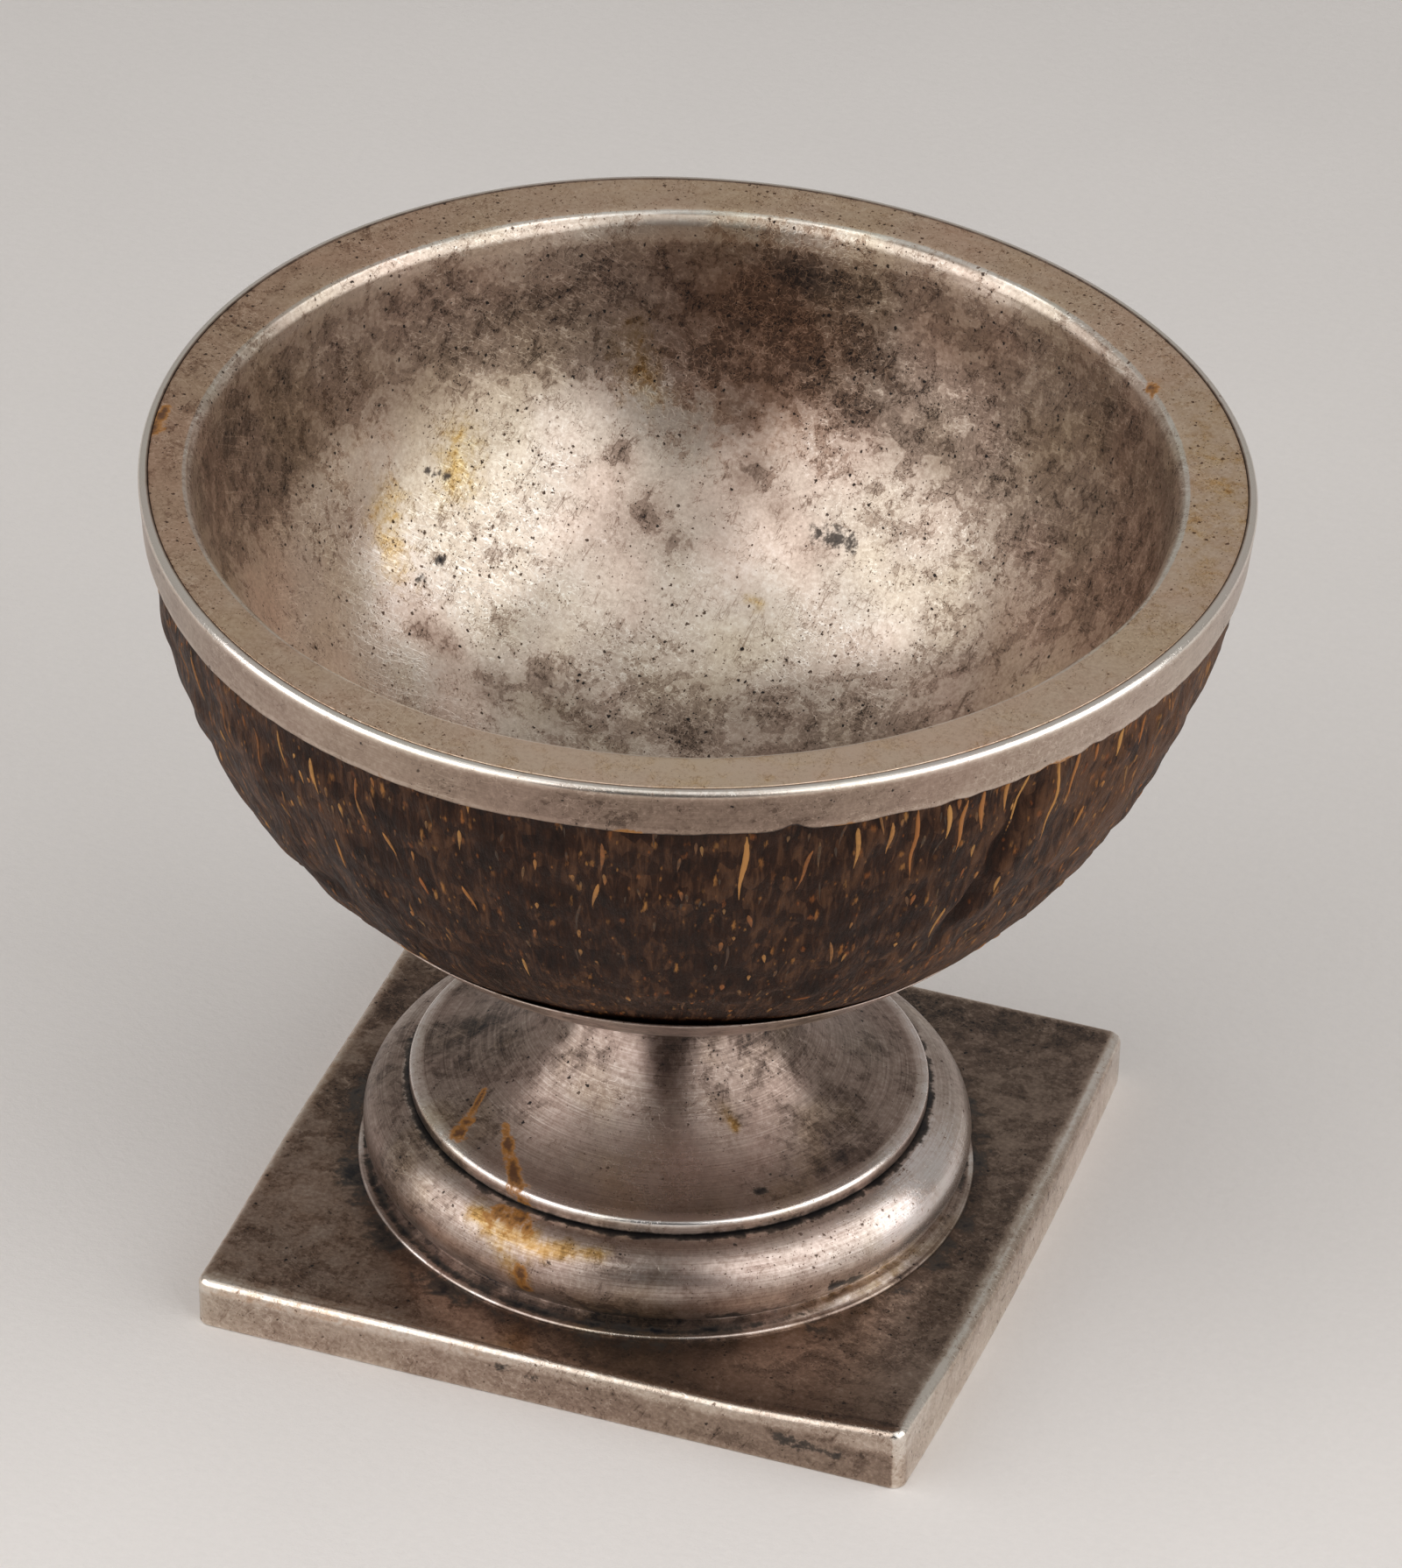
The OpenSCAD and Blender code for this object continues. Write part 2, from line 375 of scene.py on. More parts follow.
def scratches(place, turns, width):
    # long fine lines: where a noise that is drawn out one way passes its middle
    found = None
    for turn in turns:
        aside = stretched(place, (1, 1, 1), turn)
        line = noise(stretched(aside, (0.025, 0.9, 0.9)), 1.0, 2, 0.5)
        line = level(sums("ABSOLUTE", about(line, 1)), 0, width, 1, 0)
        found = line if found is None else sums("MAXIMUM", found, line)
    return found


def silver(name, look):
    # old silver: films of tarnish in ragged steps, specks, pale and dark scratches, turned lines and stains
    material, shader, place = newFinish(name)
    grain = mark("grain", wide=True)
    # tarnish, with painted light and shade laid into it on some pieces
    tarnishAndLight = mark("tarnishAndLight")
    blotch = noise(place, 1 / look["blotchSize"], 5, 0.6, 0.4)
    mottle = noise(place, 1 / look["mottleSize"], 5, 0.58, 0.5)
    grit = noise(place, 2.2, 5, 0.7)
    lines = noise(stretched(grain, (0.10, 0.10, 7.0)), 1.0, 4, 0.6)
    field = total(tarnishAndLight, about(blotch, 0.6), about(mottle, 1.0), about(grit, 0.2))
    film = 0
    for start in look["films"]:
        film = total(level(field, start, start + 0.025), film)
    pale = scratches(place, look["paleScratches"], look["scratchWidth"])
    dark = scratches(place, look["darkScratches"], look["scratchWidth"])
    rubbed = level(blotch, 0.38, 0.6)
    pale = scaled(pale, rubbed)
    dark = scaled(dark, level(mottle, 0.42, 0.6))
    chance = total(about(blotch, 1.2), about(mottle, 0.6), mark("pits"))
    crumb = noise(place, 5.0, 3, 0.6)
    pit = specks(place, look["speckGap"], total(chance, look["specks"]), crumb)
    dot = specks(place, 0.45 * look["speckGap"], total(chance, look["specks"], 0.08), crumb)
    pit = sums("MAXIMUM", pit, scaled(dot, 0.8))

    tarnish = total(tarnishAndLight, about(blotch, look["blotch"]), about(mottle, look["mottle"]),
                    scaled(film, look["film"]), about(grit, look["grit"]), about(lines, look["lines"]))
    dust = scaled(level(grit, 0.58, 0.70), level(tarnish, 0.5, 0.8))
    tarnish = total(tarnish, scaled(dust, -look["dust"]), scaled(pale, -look["scratch"]),
                    scaled(dark, look["scratch"]), scaled(pit, look["pit"]))
    colour = ramp(tarnish, silverShades)
    hue = ramp(noise(place, 1 / look["hueSize"], 3, 0.5), look["hues"])
    colour = tint(1.0, colour, hue, "MULTIPLY")
    roughness = level(tarnish, 0, 1, look["smooth"], look["rough"], "LINEAR")
    metal = level(tarnish, 0.6, 1, 1, 0.8, "LINEAR")
    for kind, (deep, faint, way, strength, loss, ragged, full) in stains.items():
        depth = mark(kind)
        reached = total(depth, about(mottle, ragged), about(grit, 0.5 * ragged))
        stain = scaled(level(reached, 0.15, full), level(depth, 0, 0.2, 0, strength))
        shade = tint(level(reached, 0.45, 1.05), faint, deep)
        colour = tint(stain, colour, shade, way)
        metal = sums("MULTIPLY_ADD", stain, -loss, metal)
    ringwise = add("VectorMath", {0: (0, 0, 1), 1: place}, operation="CROSS_PRODUCT").outputs["Vector"]
    plug(shader, {"Base Color": colour, "Roughness": roughness, "Metallic": metal})
    plug(shader, {"Anisotropic": look["turned"], "Anisotropic Rotation": 0.25, "Tangent": ringwise})
    height = total(scaled(grit, 0.4), scaled(lines, look["brushed"]),
                   scaled(pale, -0.3), scaled(dark, -0.3), scaled(pit, -0.7))
    bumped(shader, look["bump"], 0.05, height)
    return material


# The bowl's hand-made shape, shared by the collar, the liner and the shell
bowl = {
    "ovalSize": -0.445,    # rim drawn in and out, twice round
    "ovalTurn": 12.3,
    "threeSize": 0.462,    # and three times round
    "threeTurn": 18.8,
    "mouthShift": (-0.44, -0.40),  # the mouth lies off the rim's centre
    "mouthSize": -0.42,    # and is oval another way
    "mouthTurn": 158.0,
}


def rimOval(theta):
    # how far the rim stands out of its circle, by angle
    two = bowl["ovalSize"] * np.cos(2 * (theta - math.radians(bowl["ovalTurn"])))
    three = bowl["threeSize"] * np.cos(3 * (theta - math.radians(bowl["threeTurn"])))
    return two + three


def mouthOval(theta):
    # how far the mouth stands out of its circle, by angle
    return bowl["mouthSize"] * np.cos(2 * (theta - math.radians(bowl["mouthTurn"])))


rimRadius, collarLow, rimTop = reach("rim_collar")
flangeRadius, linerLow, _ = reach("bowl_liner")
shellRadius, shellLow, shellTop = reach("coconut_shell")
calyxRadius, calyxLow, calyxTop = reach("calyx")
discRadius, discLow, neckTop = reach("pedestal")
ringRadius, ringLow, ringTop = reach("foot_ring")
plinthHalf, _, plinthTop = reach("plinth")
boltHole = 2.15  # radius of the holes that the bolt passes through

# Collar: a strip round the shell's edge, a little conical, with a worn top edge and a dented lower one
collar = {
    "wall": 0.8,
    "footIn": 0.98,        # from the rim in to the inside of the lower edge
    "footWall": 0.6,
    "footRound": 0.2,
    "footRoundIn": 0.15,
    "edgeRound": 0.55,
    "seam": 0.08,          # rounding beside the flange and of the flange, which leaves the fine seam
    "dentTurn": -61.0,     # where the lower edge is knocked in
    "dentHeight": 0.5,
    "columns": 640,
    "look": oldSilver | {
        "blotchSize": 9.0, "blotch": 0.20, "mottle": 0.18, "films": [0.74], "film": 0.08, "grit": 0.34,
        "dust": 0.0, "turned": 0.5, "lines": 0.15, "brushed": 0.4, "specks": 0.0, "smooth": 0.22,
        "rough": 0.46, "paleScratches": [(0, 0, 15), (20, 40, 80)], "darkScratches": [(0, 15, 60)],
        "hues": [(0.3, (1.0, 0.95, 0.94)), (0.7, (0.98, 0.97, 0.93))],
    },
    "tarnishAndLight": (0.48, [(0.19, -72, 24), (-0.14, -12, 28)]),  # tarnish, and lobes round the axis: painted shade in front, painted light on the right
    "rust": [  # streaks: from, to, radius at either end
        ((-10.7, -46.6, 73.7), (-10.3, -46.7, 72.9), 0.9, 0.9),
        ((6.5, -47.3, 72.9), (11.5, -46.5, 72.9), 0.5, 0.7),
        ((26.0, -40.0, 72.8), (43.0, -21.5, 72.8), 0.5, 0.6),
    ],
}
theta = around(collar["columns"])
seam, edgeRound, footRound = collar["seam"], collar["edgeRound"], collar["footRound"]
collarTop = rimRadius - collar["wall"]
collarFoot = rimRadius - collar["footIn"]
footOut = collarFoot + collar["footWall"]
profile = joined(
    rounding(collarTop, rimTop, seam, 90, 6),
    straight((collarTop, rimTop - 0.4), (collarFoot, collarLow + 0.1), 4),
    rounding(collarFoot, collarLow, collar["footRoundIn"], 180, 4),
    straight((collarFoot + footRound, collarLow), (footOut - footRound, collarLow), 3),
    rounding(footOut, collarLow, footRound, -90, 6),
    straight((footOut, collarLow + 0.25), (rimRadius, rimTop - edgeRound), 22),
    rounding(rimRadius, rimTop, edgeRound, 0, 14),
)
along, radius, height = measured(profile)
near = 1 - ease(height, collarLow, collarLow + 1.6)
dent = lobe(theta, collar["dentTurn"], 1.3)
ragged = ripple(theta, 0, 14, 130, 1, 41) * (0.03 + 0.10 * lobe(theta, -33, 18))
push = 0.05 * ripple(theta, along, 10, 24, 6, 42) * near - 0.18 * dent * bell(height, collarLow + 1.0, 0.8)
grid = turned(profile, theta, push, True, rimOval(theta))
grid[..., 2] += near * (ragged + collar["dentHeight"] * dent)
edge = bell(height, rimTop, 0.5) * (radius > rimRadius - edgeRound - 0.02)
# darker at the front and paler on the right (painted shade and light), paler on the worn top edge,
tarnishAndLight = lobes(theta, *collar["tarnishAndLight"]) - 0.60 * edge - 0.10 * bell(height, collarLow + 0.3, 0.3)
# darker at the lower edge and the seam, and darker in the dent (painted shade)
atFront = lobe(theta, -72, 50)
tarnishAndLight = tarnishAndLight + 0.3 * bell(radius, collarTop, 0.1) * (1 - atFront)
tarnishAndLight = tarnishAndLight + 0.3 * bell(height, collarLow, 0.15) + 0.2 * dent * near
marks = {"grain": grainOf(theta, along, rimRadius), "tarnishAndLight": tarnishAndLight, "warm": 0.14 * edge, **stained(grid, collar)}
piece("rimCollar", surface("rimCollar", grid, True, marks), silver("rimSilver", collar["look"]),
      "rim_collar")

# Liner: a ball-shaped bowl, a rounded lip and a flat flange, with its hollow off centre
liner = {
    "wall": 0.9,
    "lipRound": 1.6,
    "hollowRadius": 41.99,
    "bottomTurn": -89.5,   # the profile ends just beside the axis
    "outerRows": 26,       # points of the profile on its hidden outside
    "columns": 480,
    "look": oldSilver | {
        "blotchSize": 12.0, "blotch": 0.20, "mottle": 0.16, "films": [0.40, 0.56], "film": 0.11, "grit": 0.55,
        "scratch": 0.22, "scratchWidth": 0.014, "specks": 0.24, "pit": 0.6, "smooth": 0.32, "rough": 0.52,
        "paleScratches": [(0, 20, 35), (60, 10, -50), (25, -40, 100)],
        "darkScratches": [(10, 60, 10), (-30, 20, -80), (40, -20, 55)], "bump": 0.45, "hueSize": 14.0,
        "hues": [(0.35, (1.0, 0.93, 0.90)), (0.5, (0.99, 0.98, 0.95)), (0.65, (0.98, 0.97, 0.88))],
    },
    "flangeAge": (0.20, [(0.13, 180, 50), (-0.19, -65, 45), (-0.05, 10, 30), (-0.03, 108, 40)]),
    "flangePits": (0.12, [(0.12, 130, 60), (0.14, 50, 30), (-0.45, -65, 45)]),
    "flangeGold": (0, [(0.42, 18, 26), (0.22, -65, 45)]),
    "filmHigh": 58.0,      # height where the film on the walls begins, and how it rises to one side
    "filmThins": (73.0, 75.5),  # heights between which it thins again
    "filmTilt": 5.0,
    "filmTurn": 150.0,
    "worn": [  # rubbed and dirty places: place, size, change of tarnish
        ((-23, 24, 55), 10, -0.06), ((-5, 28, 49), 7, -0.08), ((9, 24.5, 47.5), 6, -0.08),
        ((-29, 7, 51), 8, -0.12), ((8, 33, 56), 8, 0.06), ((19, 27, 54), 9, 0.02), ((22, 19, 49), 8, 0.16),
        ((-12, 29, 53), 7, 0.09), ((-38, 5, 62), 8, 0.06), ((-6, 40, 67), 11, 0.13),
        ((-18, 36, 67), 6, 0.07), ((-5, 41, 72.6), 1.2, 0.14), ((-3, 41.2, 72.2), 1.4, 0.16),
        ((-0.5, 41.3, 72.2), 1.0, 0.10), ((-6.8, 35.9, 59.4), 2.2, 0.13), ((-5, 34, 56), 1.8, 0.16),
        ((-2, 32.2, 53.4), 1.6, 0.16), ((2, 30, 51), 2.0, 0.12), ((-27.3, 8.6, 49.2), 1.6, 0.24),
        ((-25, 9.2, 47.6), 1.8, 0.26), ((-20.6, 8.6, 44.4), 2.2, 0.22), ((-17.2, 12.9, 43.9), 1.8, 0.20),
        ((-14, 11, 42.3), 5, 0.12), ((-5, 14, 41), 6, 0.17), ((5, 15, 41.3), 6, 0.17),
        ((13, 15, 43), 6, 0.15), ((-13, 28.5, 52.1), 1.6, 0.20), ((-10.3, 27.9, 50.4), 1.3, 0.20),
        ((-16.5, 30.5, 56.5), 1.6, 0.14), ((-5.5, 33, 55), 1.8, 0.16), ((-2.1, 26, 47.1), 1.4, 0.10),
        ((-17, 34.8, 64), 5, -0.08),
    ],
    "gold": [
        ((-28.7, 22.6, 60.0), (-28.5, 21.0, 57.0), 4.0, 4.6), ((-33, 14, 57), (-31, 11, 53), 5.0, 4.0),
        ((-2.5, 26.2, 47.2), (-1.5, 25.8, 47.2), 1.4, 1.4),
        ((-17.6, 35.6, 66.3), (-15.5, 34.5, 61.8), 4.0, 4.0),
    ],
    "brown": [((-6, 40, 67), 13, 0.5), ((38, 12, 64), 12, 0.3), ((-36, 14, 64), 12, 0.25)],
    "rust": [
        ((-45.0, -7.5, 77.3), (-45.0, -11.5, 77.3), 0.8, 1.4),
        ((32.4, 27.4, 77.3), (32.6, 25.6, 77.3), 0.9, 0.9),
    ],
    "soot": [
        ((1.6, 31.5, 52.3), (5.4, 31.0, 52.2), 1.4, 1.2), ((-1.0, 32.2, 53.0), (0.4, 31.6, 52.4), 0.6, 0.7),
        ((-30.9, 19.1, 58.5), (-30.0, 19.5, 57.9), 0.6, 0.6),
        ((-30.2, 19.4, 58.0), (-27.5, 21.2, 56.9), 0.5, 0.3),
        ((-27.6, 15, 52.2), (-27.9, 14, 52.1), 0.5, 0.35),
        ((-28.4, 12.6, 51.8), (-28.8, 11.8, 51.8), 0.5, 0.35),
    ],
}
theta = around(liner["columns"])
lip = liner["lipRound"]
hollowLow = linerLow + liner["wall"]
hollowMiddle = hollowLow + liner["hollowRadius"]
lipHigh = rimTop - lip
lipOut = math.sqrt((liner["hollowRadius"] + lip) ** 2 - (hollowMiddle - lipHigh) ** 2)
lipEnd = math.degrees(math.atan2(hollowMiddle - lipHigh, -lipOut))
wallEnd = math.degrees(math.atan2(lipHigh - hollowMiddle, lipOut))
outerBall = liner["hollowRadius"] + liner["wall"]
profile = joined(
    arc((0, hollowMiddle), outerBall, liner["bottomTurn"], wallEnd, liner["outerRows"]),
    arc((lipOut, lipHigh), lip - liner["wall"], lipEnd, 90, 5),
    straight((lipOut + 0.3, rimTop - liner["wall"]), (flangeRadius, rimTop - liner["wall"]), 4),
    straight((flangeRadius, rimTop - 0.8), (flangeRadius, rimTop - 0.2), 3),
    rounding(flangeRadius, rimTop, seam, 0, 4),
    straight((flangeRadius - 0.2, rimTop), (lipOut, rimTop), 16),
    arc((lipOut, lipHigh), lip, 90, lipEnd, 16),
    arc((0, hollowMiddle), liner["hollowRadius"], wallEnd - 0.5, liner["bottomTurn"], 112),
)
along, radius, height = measured(profile)
rows = np.arange(len(profile))[:, None]
inside = (rows > liner["outerRows"]) & (radius < lipOut - 1.0)
flat = ease(radius, lipOut, flangeRadius) * (height > rimTop - 1)
deep = ease(height, linerLow + 8, rimTop)
oval = (mouthOval(theta) * (1 - flat) + rimOval(theta) * flat) * deep
hammered = ripple(theta, along, 26, 14, 9, 51) * 0.10 * ease(radius, 2, 9) * inside
sag = ripple(theta, 0, 10, 16, 1, 52) * 0.05 * (height > lipHigh)
shift = [(1 - flat) * way for way in bowl["mouthShift"]]
grid = turned(profile, theta, hammered + sag * (flat < 0.7), False, oval, shift)
seam = bell(radius, flangeRadius, 0.14)
# the worn lip is paler; weighting it to the far side paints a broader highlight there
wearAndHighlight = bell(radius, lipOut - 0.75 * lip, 1.0) * (height > lipHigh - 0.8)
wearAndHighlight = wearAndHighlight * (0.2 + 0.8 * lobe(theta, 107, 65))
filmEdge = liner["filmHigh"] + liner["filmTilt"] * np.cos(theta - math.radians(liner["filmTurn"]))
wallAge = 0.29 + 0.185 * ease(height - filmEdge, -2.5, 2.5) + blots(grid, liner["worn"])
wallAge = wallAge - 0.06 * ease(height, *liner["filmThins"])
front = lobe(theta, -65, 45)
flangeAge = lobes(theta, *liner["flangeAge"]) + 0.02 * ripple(theta, along, 40, 60, 2.5, 53)
tarnishAndLight = np.where(inside, wallAge, flangeAge) - 0.15 * wearAndHighlight + 0.15 * seam * (1 - front)
onFlange = (height > lipHigh) * (radius > lipOut - 0.5)
onLip = height > lipHigh - 0.8
pits = lobes(theta, *liner["flangePits"]) * onFlange
yellowed = lobes(theta, *liner["flangeGold"]) * onFlange
marks = {"grain": grainOf(theta, along, flangeRadius), "tarnishAndLight": tarnishAndLight, "pits": pits, **stained(grid, liner)}
marks["gold"] = np.maximum(0.70 * marks["gold"], yellowed)
marks["soot"] = 0.85 * marks["soot"]
marks["warm"] = np.where(onFlange, 0.6, np.maximum(blots(grid, liner["brown"]), 0.12 * onLip))
piece("bowlLiner", surface("bowlLiner", grid, False, marks), silver("linerSilver", liner["look"]),
      "bowl_liner")

# The dish under the shell, whose inside is part of a ball
calyx = {"ball": 47.6, "wall": 0.8, "edge": 0.18, "columns": 420}
calyxMiddle = calyxLow + calyx["wall"] + calyx["ball"]

# Coconut shell: a scraped half ball with facets, lumps, one fold and a gap above the dish in front
shell = {
    "wall": 3.6,
    "facets": 0.20,
    "lumps": 0.15,
    "foldTurn": -36.5,
    "fold": 0.5,
    "flatTurn": -12.0,     # the side that is scraped flatter
    "flat": 0.3,
    "gapTurn": -72.5,      # where the shell stands clear of the dish's edge
    "gap": 0.45,
    "swell": 0.36,         # elsewhere it fills the dish
    "spare": 0.03,         # but never passes through it
    "ovalFrom": 44.0,      # height where it begins to take the rim's oval
    "pale": (-0.05, [(0.46, -8, 32), (0.13, -135, 30)]),  # painted sheen: paler on the two sides that face the lamps, in lobes round the axis
    "columns": 560,
    "rows": 150,
}


def dishRoom(polar):
    # how far the shell may stand off its ball before it meets the dish; above the dish there is no limit
    offset = calyxMiddle - shellMiddle
    room = np.sqrt(calyx["ball"] ** 2 - (offset * np.sin(polar)) ** 2) - offset * np.cos(polar) - shellRadius
    dishEdge = math.atan2(calyxRadius, shellMiddle - calyxTop)
    return room - shell["spare"] + 5 * ease(polar, dishEdge, dishEdge + 0.06)


def foldLine(theta, polar):
    # the fold's ridge and the crease beside it, 1 at their deepest
    turn = turnFrom(theta - 0.3 * (polar - 1.2), shell["foldTurn"])
    reached = ease(polar, 0.98, 1.14) * (1 - ease(polar, 1.38, 1.48))
    return bell(turn, 2.5, 2.2) * reached, bell(turn, -1.0, 1.0) * reached


def shellPush(theta, polar):
    # how far the shell's outside stands off its ball; polar is the angle up from the bottom, in radians
    facets = ripple(theta, polar, 18, 34, 1.6, 61) * shell["facets"]
    lumps = ripple(theta, polar, 46, 60, 0.09, 62) * shell["lumps"]
    ridge, crease = foldLine(theta, polar)
    fold = shell["fold"] * (ridge - 1.1 * crease)
    scraped = shell["flat"] * lobe(theta, shell["flatTurn"], 22) * bell(polar, 1.0, 0.35)
    free = ease(polar, 0.72, 1.0) * (1 - ease(polar, 1.44, 1.50))
    clear = lobe(theta, shell["gapTurn"], 26)
    seat = shell["swell"] * (1 - clear) * bell(polar, 0.70, 0.2)
    seat = seat - shell["gap"] * clear * bell(polar, 0.80, 0.12)
    return np.minimum((facets + lumps) * (0.12 + 0.88 * free) + fold - scraped * free + seat, dishRoom(polar))


theta = around(shell["columns"])
shellMiddle = shellLow + shellRadius
polarTop = math.acos((shellMiddle - shellTop) / shellRadius)
polarLow = math.asin(boltHole / shellRadius)
polar = np.linspace(polarLow, polarTop, shell["rows"])[:, None]
inRadius = shellRadius - shell["wall"]
topIn = math.acos((shellMiddle - shellTop) / inRadius)
polarIn = np.linspace(topIn, math.asin(boltHole / inRadius), 18)[:, None]


def onBall(radius, polar, theta, shift=(0, 0)):
    # points of a ball about the shell's middle
    side = radius * np.sin(polar)
    return np.stack([side * np.cos(theta) + shift[0], side * np.sin(theta) + shift[1],
                     shellMiddle - radius * np.cos(polar) + 0 * theta], -1)


def shellPoint(theta, polar, lift=0):
    # points of the shell's outside, or a little off it
    point = onBall(shellRadius + shellPush(theta, polar) + lift, polar, theta)
    oval = rimOval(theta) * ease(point[..., 2], shell["ovalFrom"], shellTop)
    point[..., 0] += oval * np.cos(theta)
    point[..., 1] += oval * np.sin(theta)
    return point


inner = onBall(inRadius + 0 * theta, polarIn, theta, [way * 0.9 for way in bowl["mouthShift"]])
inner[-1] = onBall(inRadius + 0 * theta, polarIn[-1:], theta)[0]
grid = np.concatenate([shellPoint(theta, polar), inner])
along = np.concatenate([polar, polarIn]) * shellRadius
crease = foldLine(theta, np.concatenate([polar, 0 * polarIn]))[1]
# painted sheen on the sides, and painted shade in the fold's crease
pale = lobes(theta, *shell["pale"]) - 0.35 * crease
marks = {"grain": grainOf(theta, along, shellRadius), "pale": pale}
shellMesh = surface("coconutShell", grid, True, marks)

coconut = {
    "shades": [  # from the hollows to the pale streaks
        (0.25, (0.010, 0.0036, 0.0018)), (0.50, (0.0255, 0.0096, 0.0047)), (0.75, (0.086, 0.038, 0.018)),
    ],
    "flecks": [  # closeness of the flecks each way, share of the places that have one, strength
        ((1.1, 1.1, 0.30), 0.34, 0.75),
        ((0.8, 0.8, 0.55), 0.28, 0.50),
        ((2.0, 2.0, 0.90), 0.34, 0.55),
    ],
    "fleckShades": [(0.25, 0.068, 0.014, 1), (0.40, 0.185, 0.052, 1)],
    "bump": 1.0,
}


def coconutFinish():
    # dark brown crusty shell with paler streaks and three sizes of ochre and rust flecks
    material, shader, place = newFinish("coconut")
    grain = mark("grain", wide=True)
    streak = noise(stretched(grain, (1.6, 1.6, 0.3)), 1.0, 4, 0.6, 0.5)
    patch = noise(place, 0.12, 4, 0.6, 0.6)
    fine = noise(stretched(grain, (5, 5, 1.6)), 1.0, 4, 0.65)
    lump, crust, _ = cells(stretched(grain, (1.0, 1.0, 0.6)), 1.0)
    # the painted sheen makes the body paler and brings more flecks on the sides
    side = mark("pale")
    body = ramp(total(about(patch, 0.6), about(crust, 0.22), streak, scaled(side, 0.5)), coconut["shades"])
    flecks = 0
    for scale, share, strength in coconut["flecks"]:
        distance, pick, hue = cells(stretched(grain, scale), 1.0)
        chosen = level(total(pick, about(patch, 0.8), side), 1 - share, 1.2 - share, 0, strength)
        fleck = level(sums("MULTIPLY_ADD", fine, 0.6, distance), 0.36, 0.60, 1, 0)
        fleck = scaled(fleck, chosen)
        warm = tint(hue, *coconut["fleckShades"])
        body = tint(fleck, body, warm)
        flecks = total(fleck, flecks)
    roughness = level(fine, 0.2, 0.8, 0.40, 0.62)
    plug(shader, {"Base Color": body, "Roughness": roughness, "Specular IOR Level": 0.12})
    height = total(scaled(streak, 0.6), scaled(fine, 0.4), scaled(flecks, 0.4), scaled(lump, -0.5))
    bumped(shader, coconut["bump"], 0.25, height)
    return material


piece("coconutShell", shellMesh, coconutFinish(), "coconut_shell")

# Fibres: ochre slivers in the shell, long ones under the collar and short ones all over
fibres = {
    "count": 760,
    "seed": 7,
    "long": [  # angle round and angle up of either end, in degrees, and strength
        (-65.5, 84, -66, 75, 1.0), (-58.5, 81, -60, 75.5, 0.6), (-54, 83.5, -54, 78, 0.7),
        (-47.5, 84.5, -47.5, 74.5, 1.0), (-44, 84, -44, 79.5, 0.9), (-40, 84.5, -39.5, 78.5, 0.9),
        (-36.5, 84.5, -36.5, 80, 1.0), (-34, 84.5, -35, 75.5, 1.0), (-30, 84.5, -30.5, 73.5, 1.0),
        (-23, 74, -24, 71.5, 1.0), (-24, 83.5, -24, 81, 0.9), (-104.5, 76, -103, 73, 0.7),
        (-112, 71, -111.5, 66.5, 0.8), (-100.5, 71, -100, 68.5, 0.8), (-95.5, 71.5, -94.5, 67.5, 0.9),
        (-95, 80.5, -95, 77.5, 0.6), (-87, 78.5, -87, 77, 0.7), (-80, 82.5, -80, 78.5, 0.6),
        (-80.5, 76.5, -81, 72.5, 0.7), (-11.5, 79, -12.5, 77.5, 0.5), (-41.5, 67.5, -41.5, 61.5, 0.7),
        (-55, 66, -54, 61.5, 0.5), (-54.5, 52.5, -56.5, 51.5, 0.7), (-128.5, 80.5, -127.5, 75, 0.5),
        (-122.5, 80.5, -121.5, 75, 0.5), (-129.5, 86.5, -128.5, 84, 0.5), (-42, 84, -42.5, 77, 0.9),
        (-27, 84, -27.5, 78, 1.0), (-20, 83.5, -20.5, 80, 0.9), (-16, 83, -16.5, 79.5, 0.8),
        (-50.5, 83.5, -50.5, 79, 0.7), (-118, 83, -117.5, 78, 0.6), (-113, 82, -112.5, 77.5, 0.7),
        (-107, 82.5, -107, 79, 0.6), (-135, 82, -134, 77, 0.6), (-140, 80, -139, 76, 0.5),
    ],
    "widest": 0.44,
    "highest": 0.14,
    "steps": 9,            # rings of four points along each
    "warmShades": [(0.27, 0.082, 0.018, 1), (0.46, 0.225, 0.062, 1)],
    "darkShade": (0.045, 0.027, 0.017, 1),
}
draw = np.random.default_rng(fibres["seed"])
count = fibres["count"]
fromTurn = draw.uniform(-180, 180, count)
fromUp = 87 - 40 * draw.uniform(0, 1, count) ** 1.2
run = draw.gamma(2.0, 0.48, count) + 0.5
slant = draw.normal(0, 0.11, count)
toTurn = fromTurn + np.degrees(run * slant / shellRadius)
toUp = fromUp - np.degrees(run / shellRadius)
scatter = np.stack([fromTurn, fromUp, toTurn, toUp, 0.12 + 0.65 * draw.uniform(0, 1, count) ** 1.6], 1)
ends = np.concatenate([np.array(fibres["long"]), scatter])
number, steps = len(ends), fibres["steps"]
fromTurn, fromUp, toTurn, toUp, strength = ends.T[:, :, None, None]
step = np.linspace(0, 1, steps)[None, :, None]
length = np.abs(fromUp - toUp) * shellRadius * math.pi / 180
taper = np.sin(math.pi * (0.04 + 0.92 * step ** 0.85)) ** 0.6 * (1.05 - 0.5 * step)
sway = np.sin(step * length * 1.1 + draw.uniform(0, tau, (number, 1, 1))) * 0.0007 * np.minimum(length, 3)
ridge = np.array([0, 1, 0, -1])[None, None, :]     # left, top, right and underside of a sliver
across = np.array([-1, 0, 1, 0])[None, None, :]
width = fibres["widest"] * (0.45 + 0.55 * strength) * draw.uniform(0.7, 1.1, (number, 1, 1)) * taper
upward = np.radians(fromUp * (1 - step) + toUp * step) + 0 * across
spin = np.radians(fromTurn * (1 - step) + toTurn * step) + sway
spin = spin + across * width / (shellRadius * np.sin(upward))
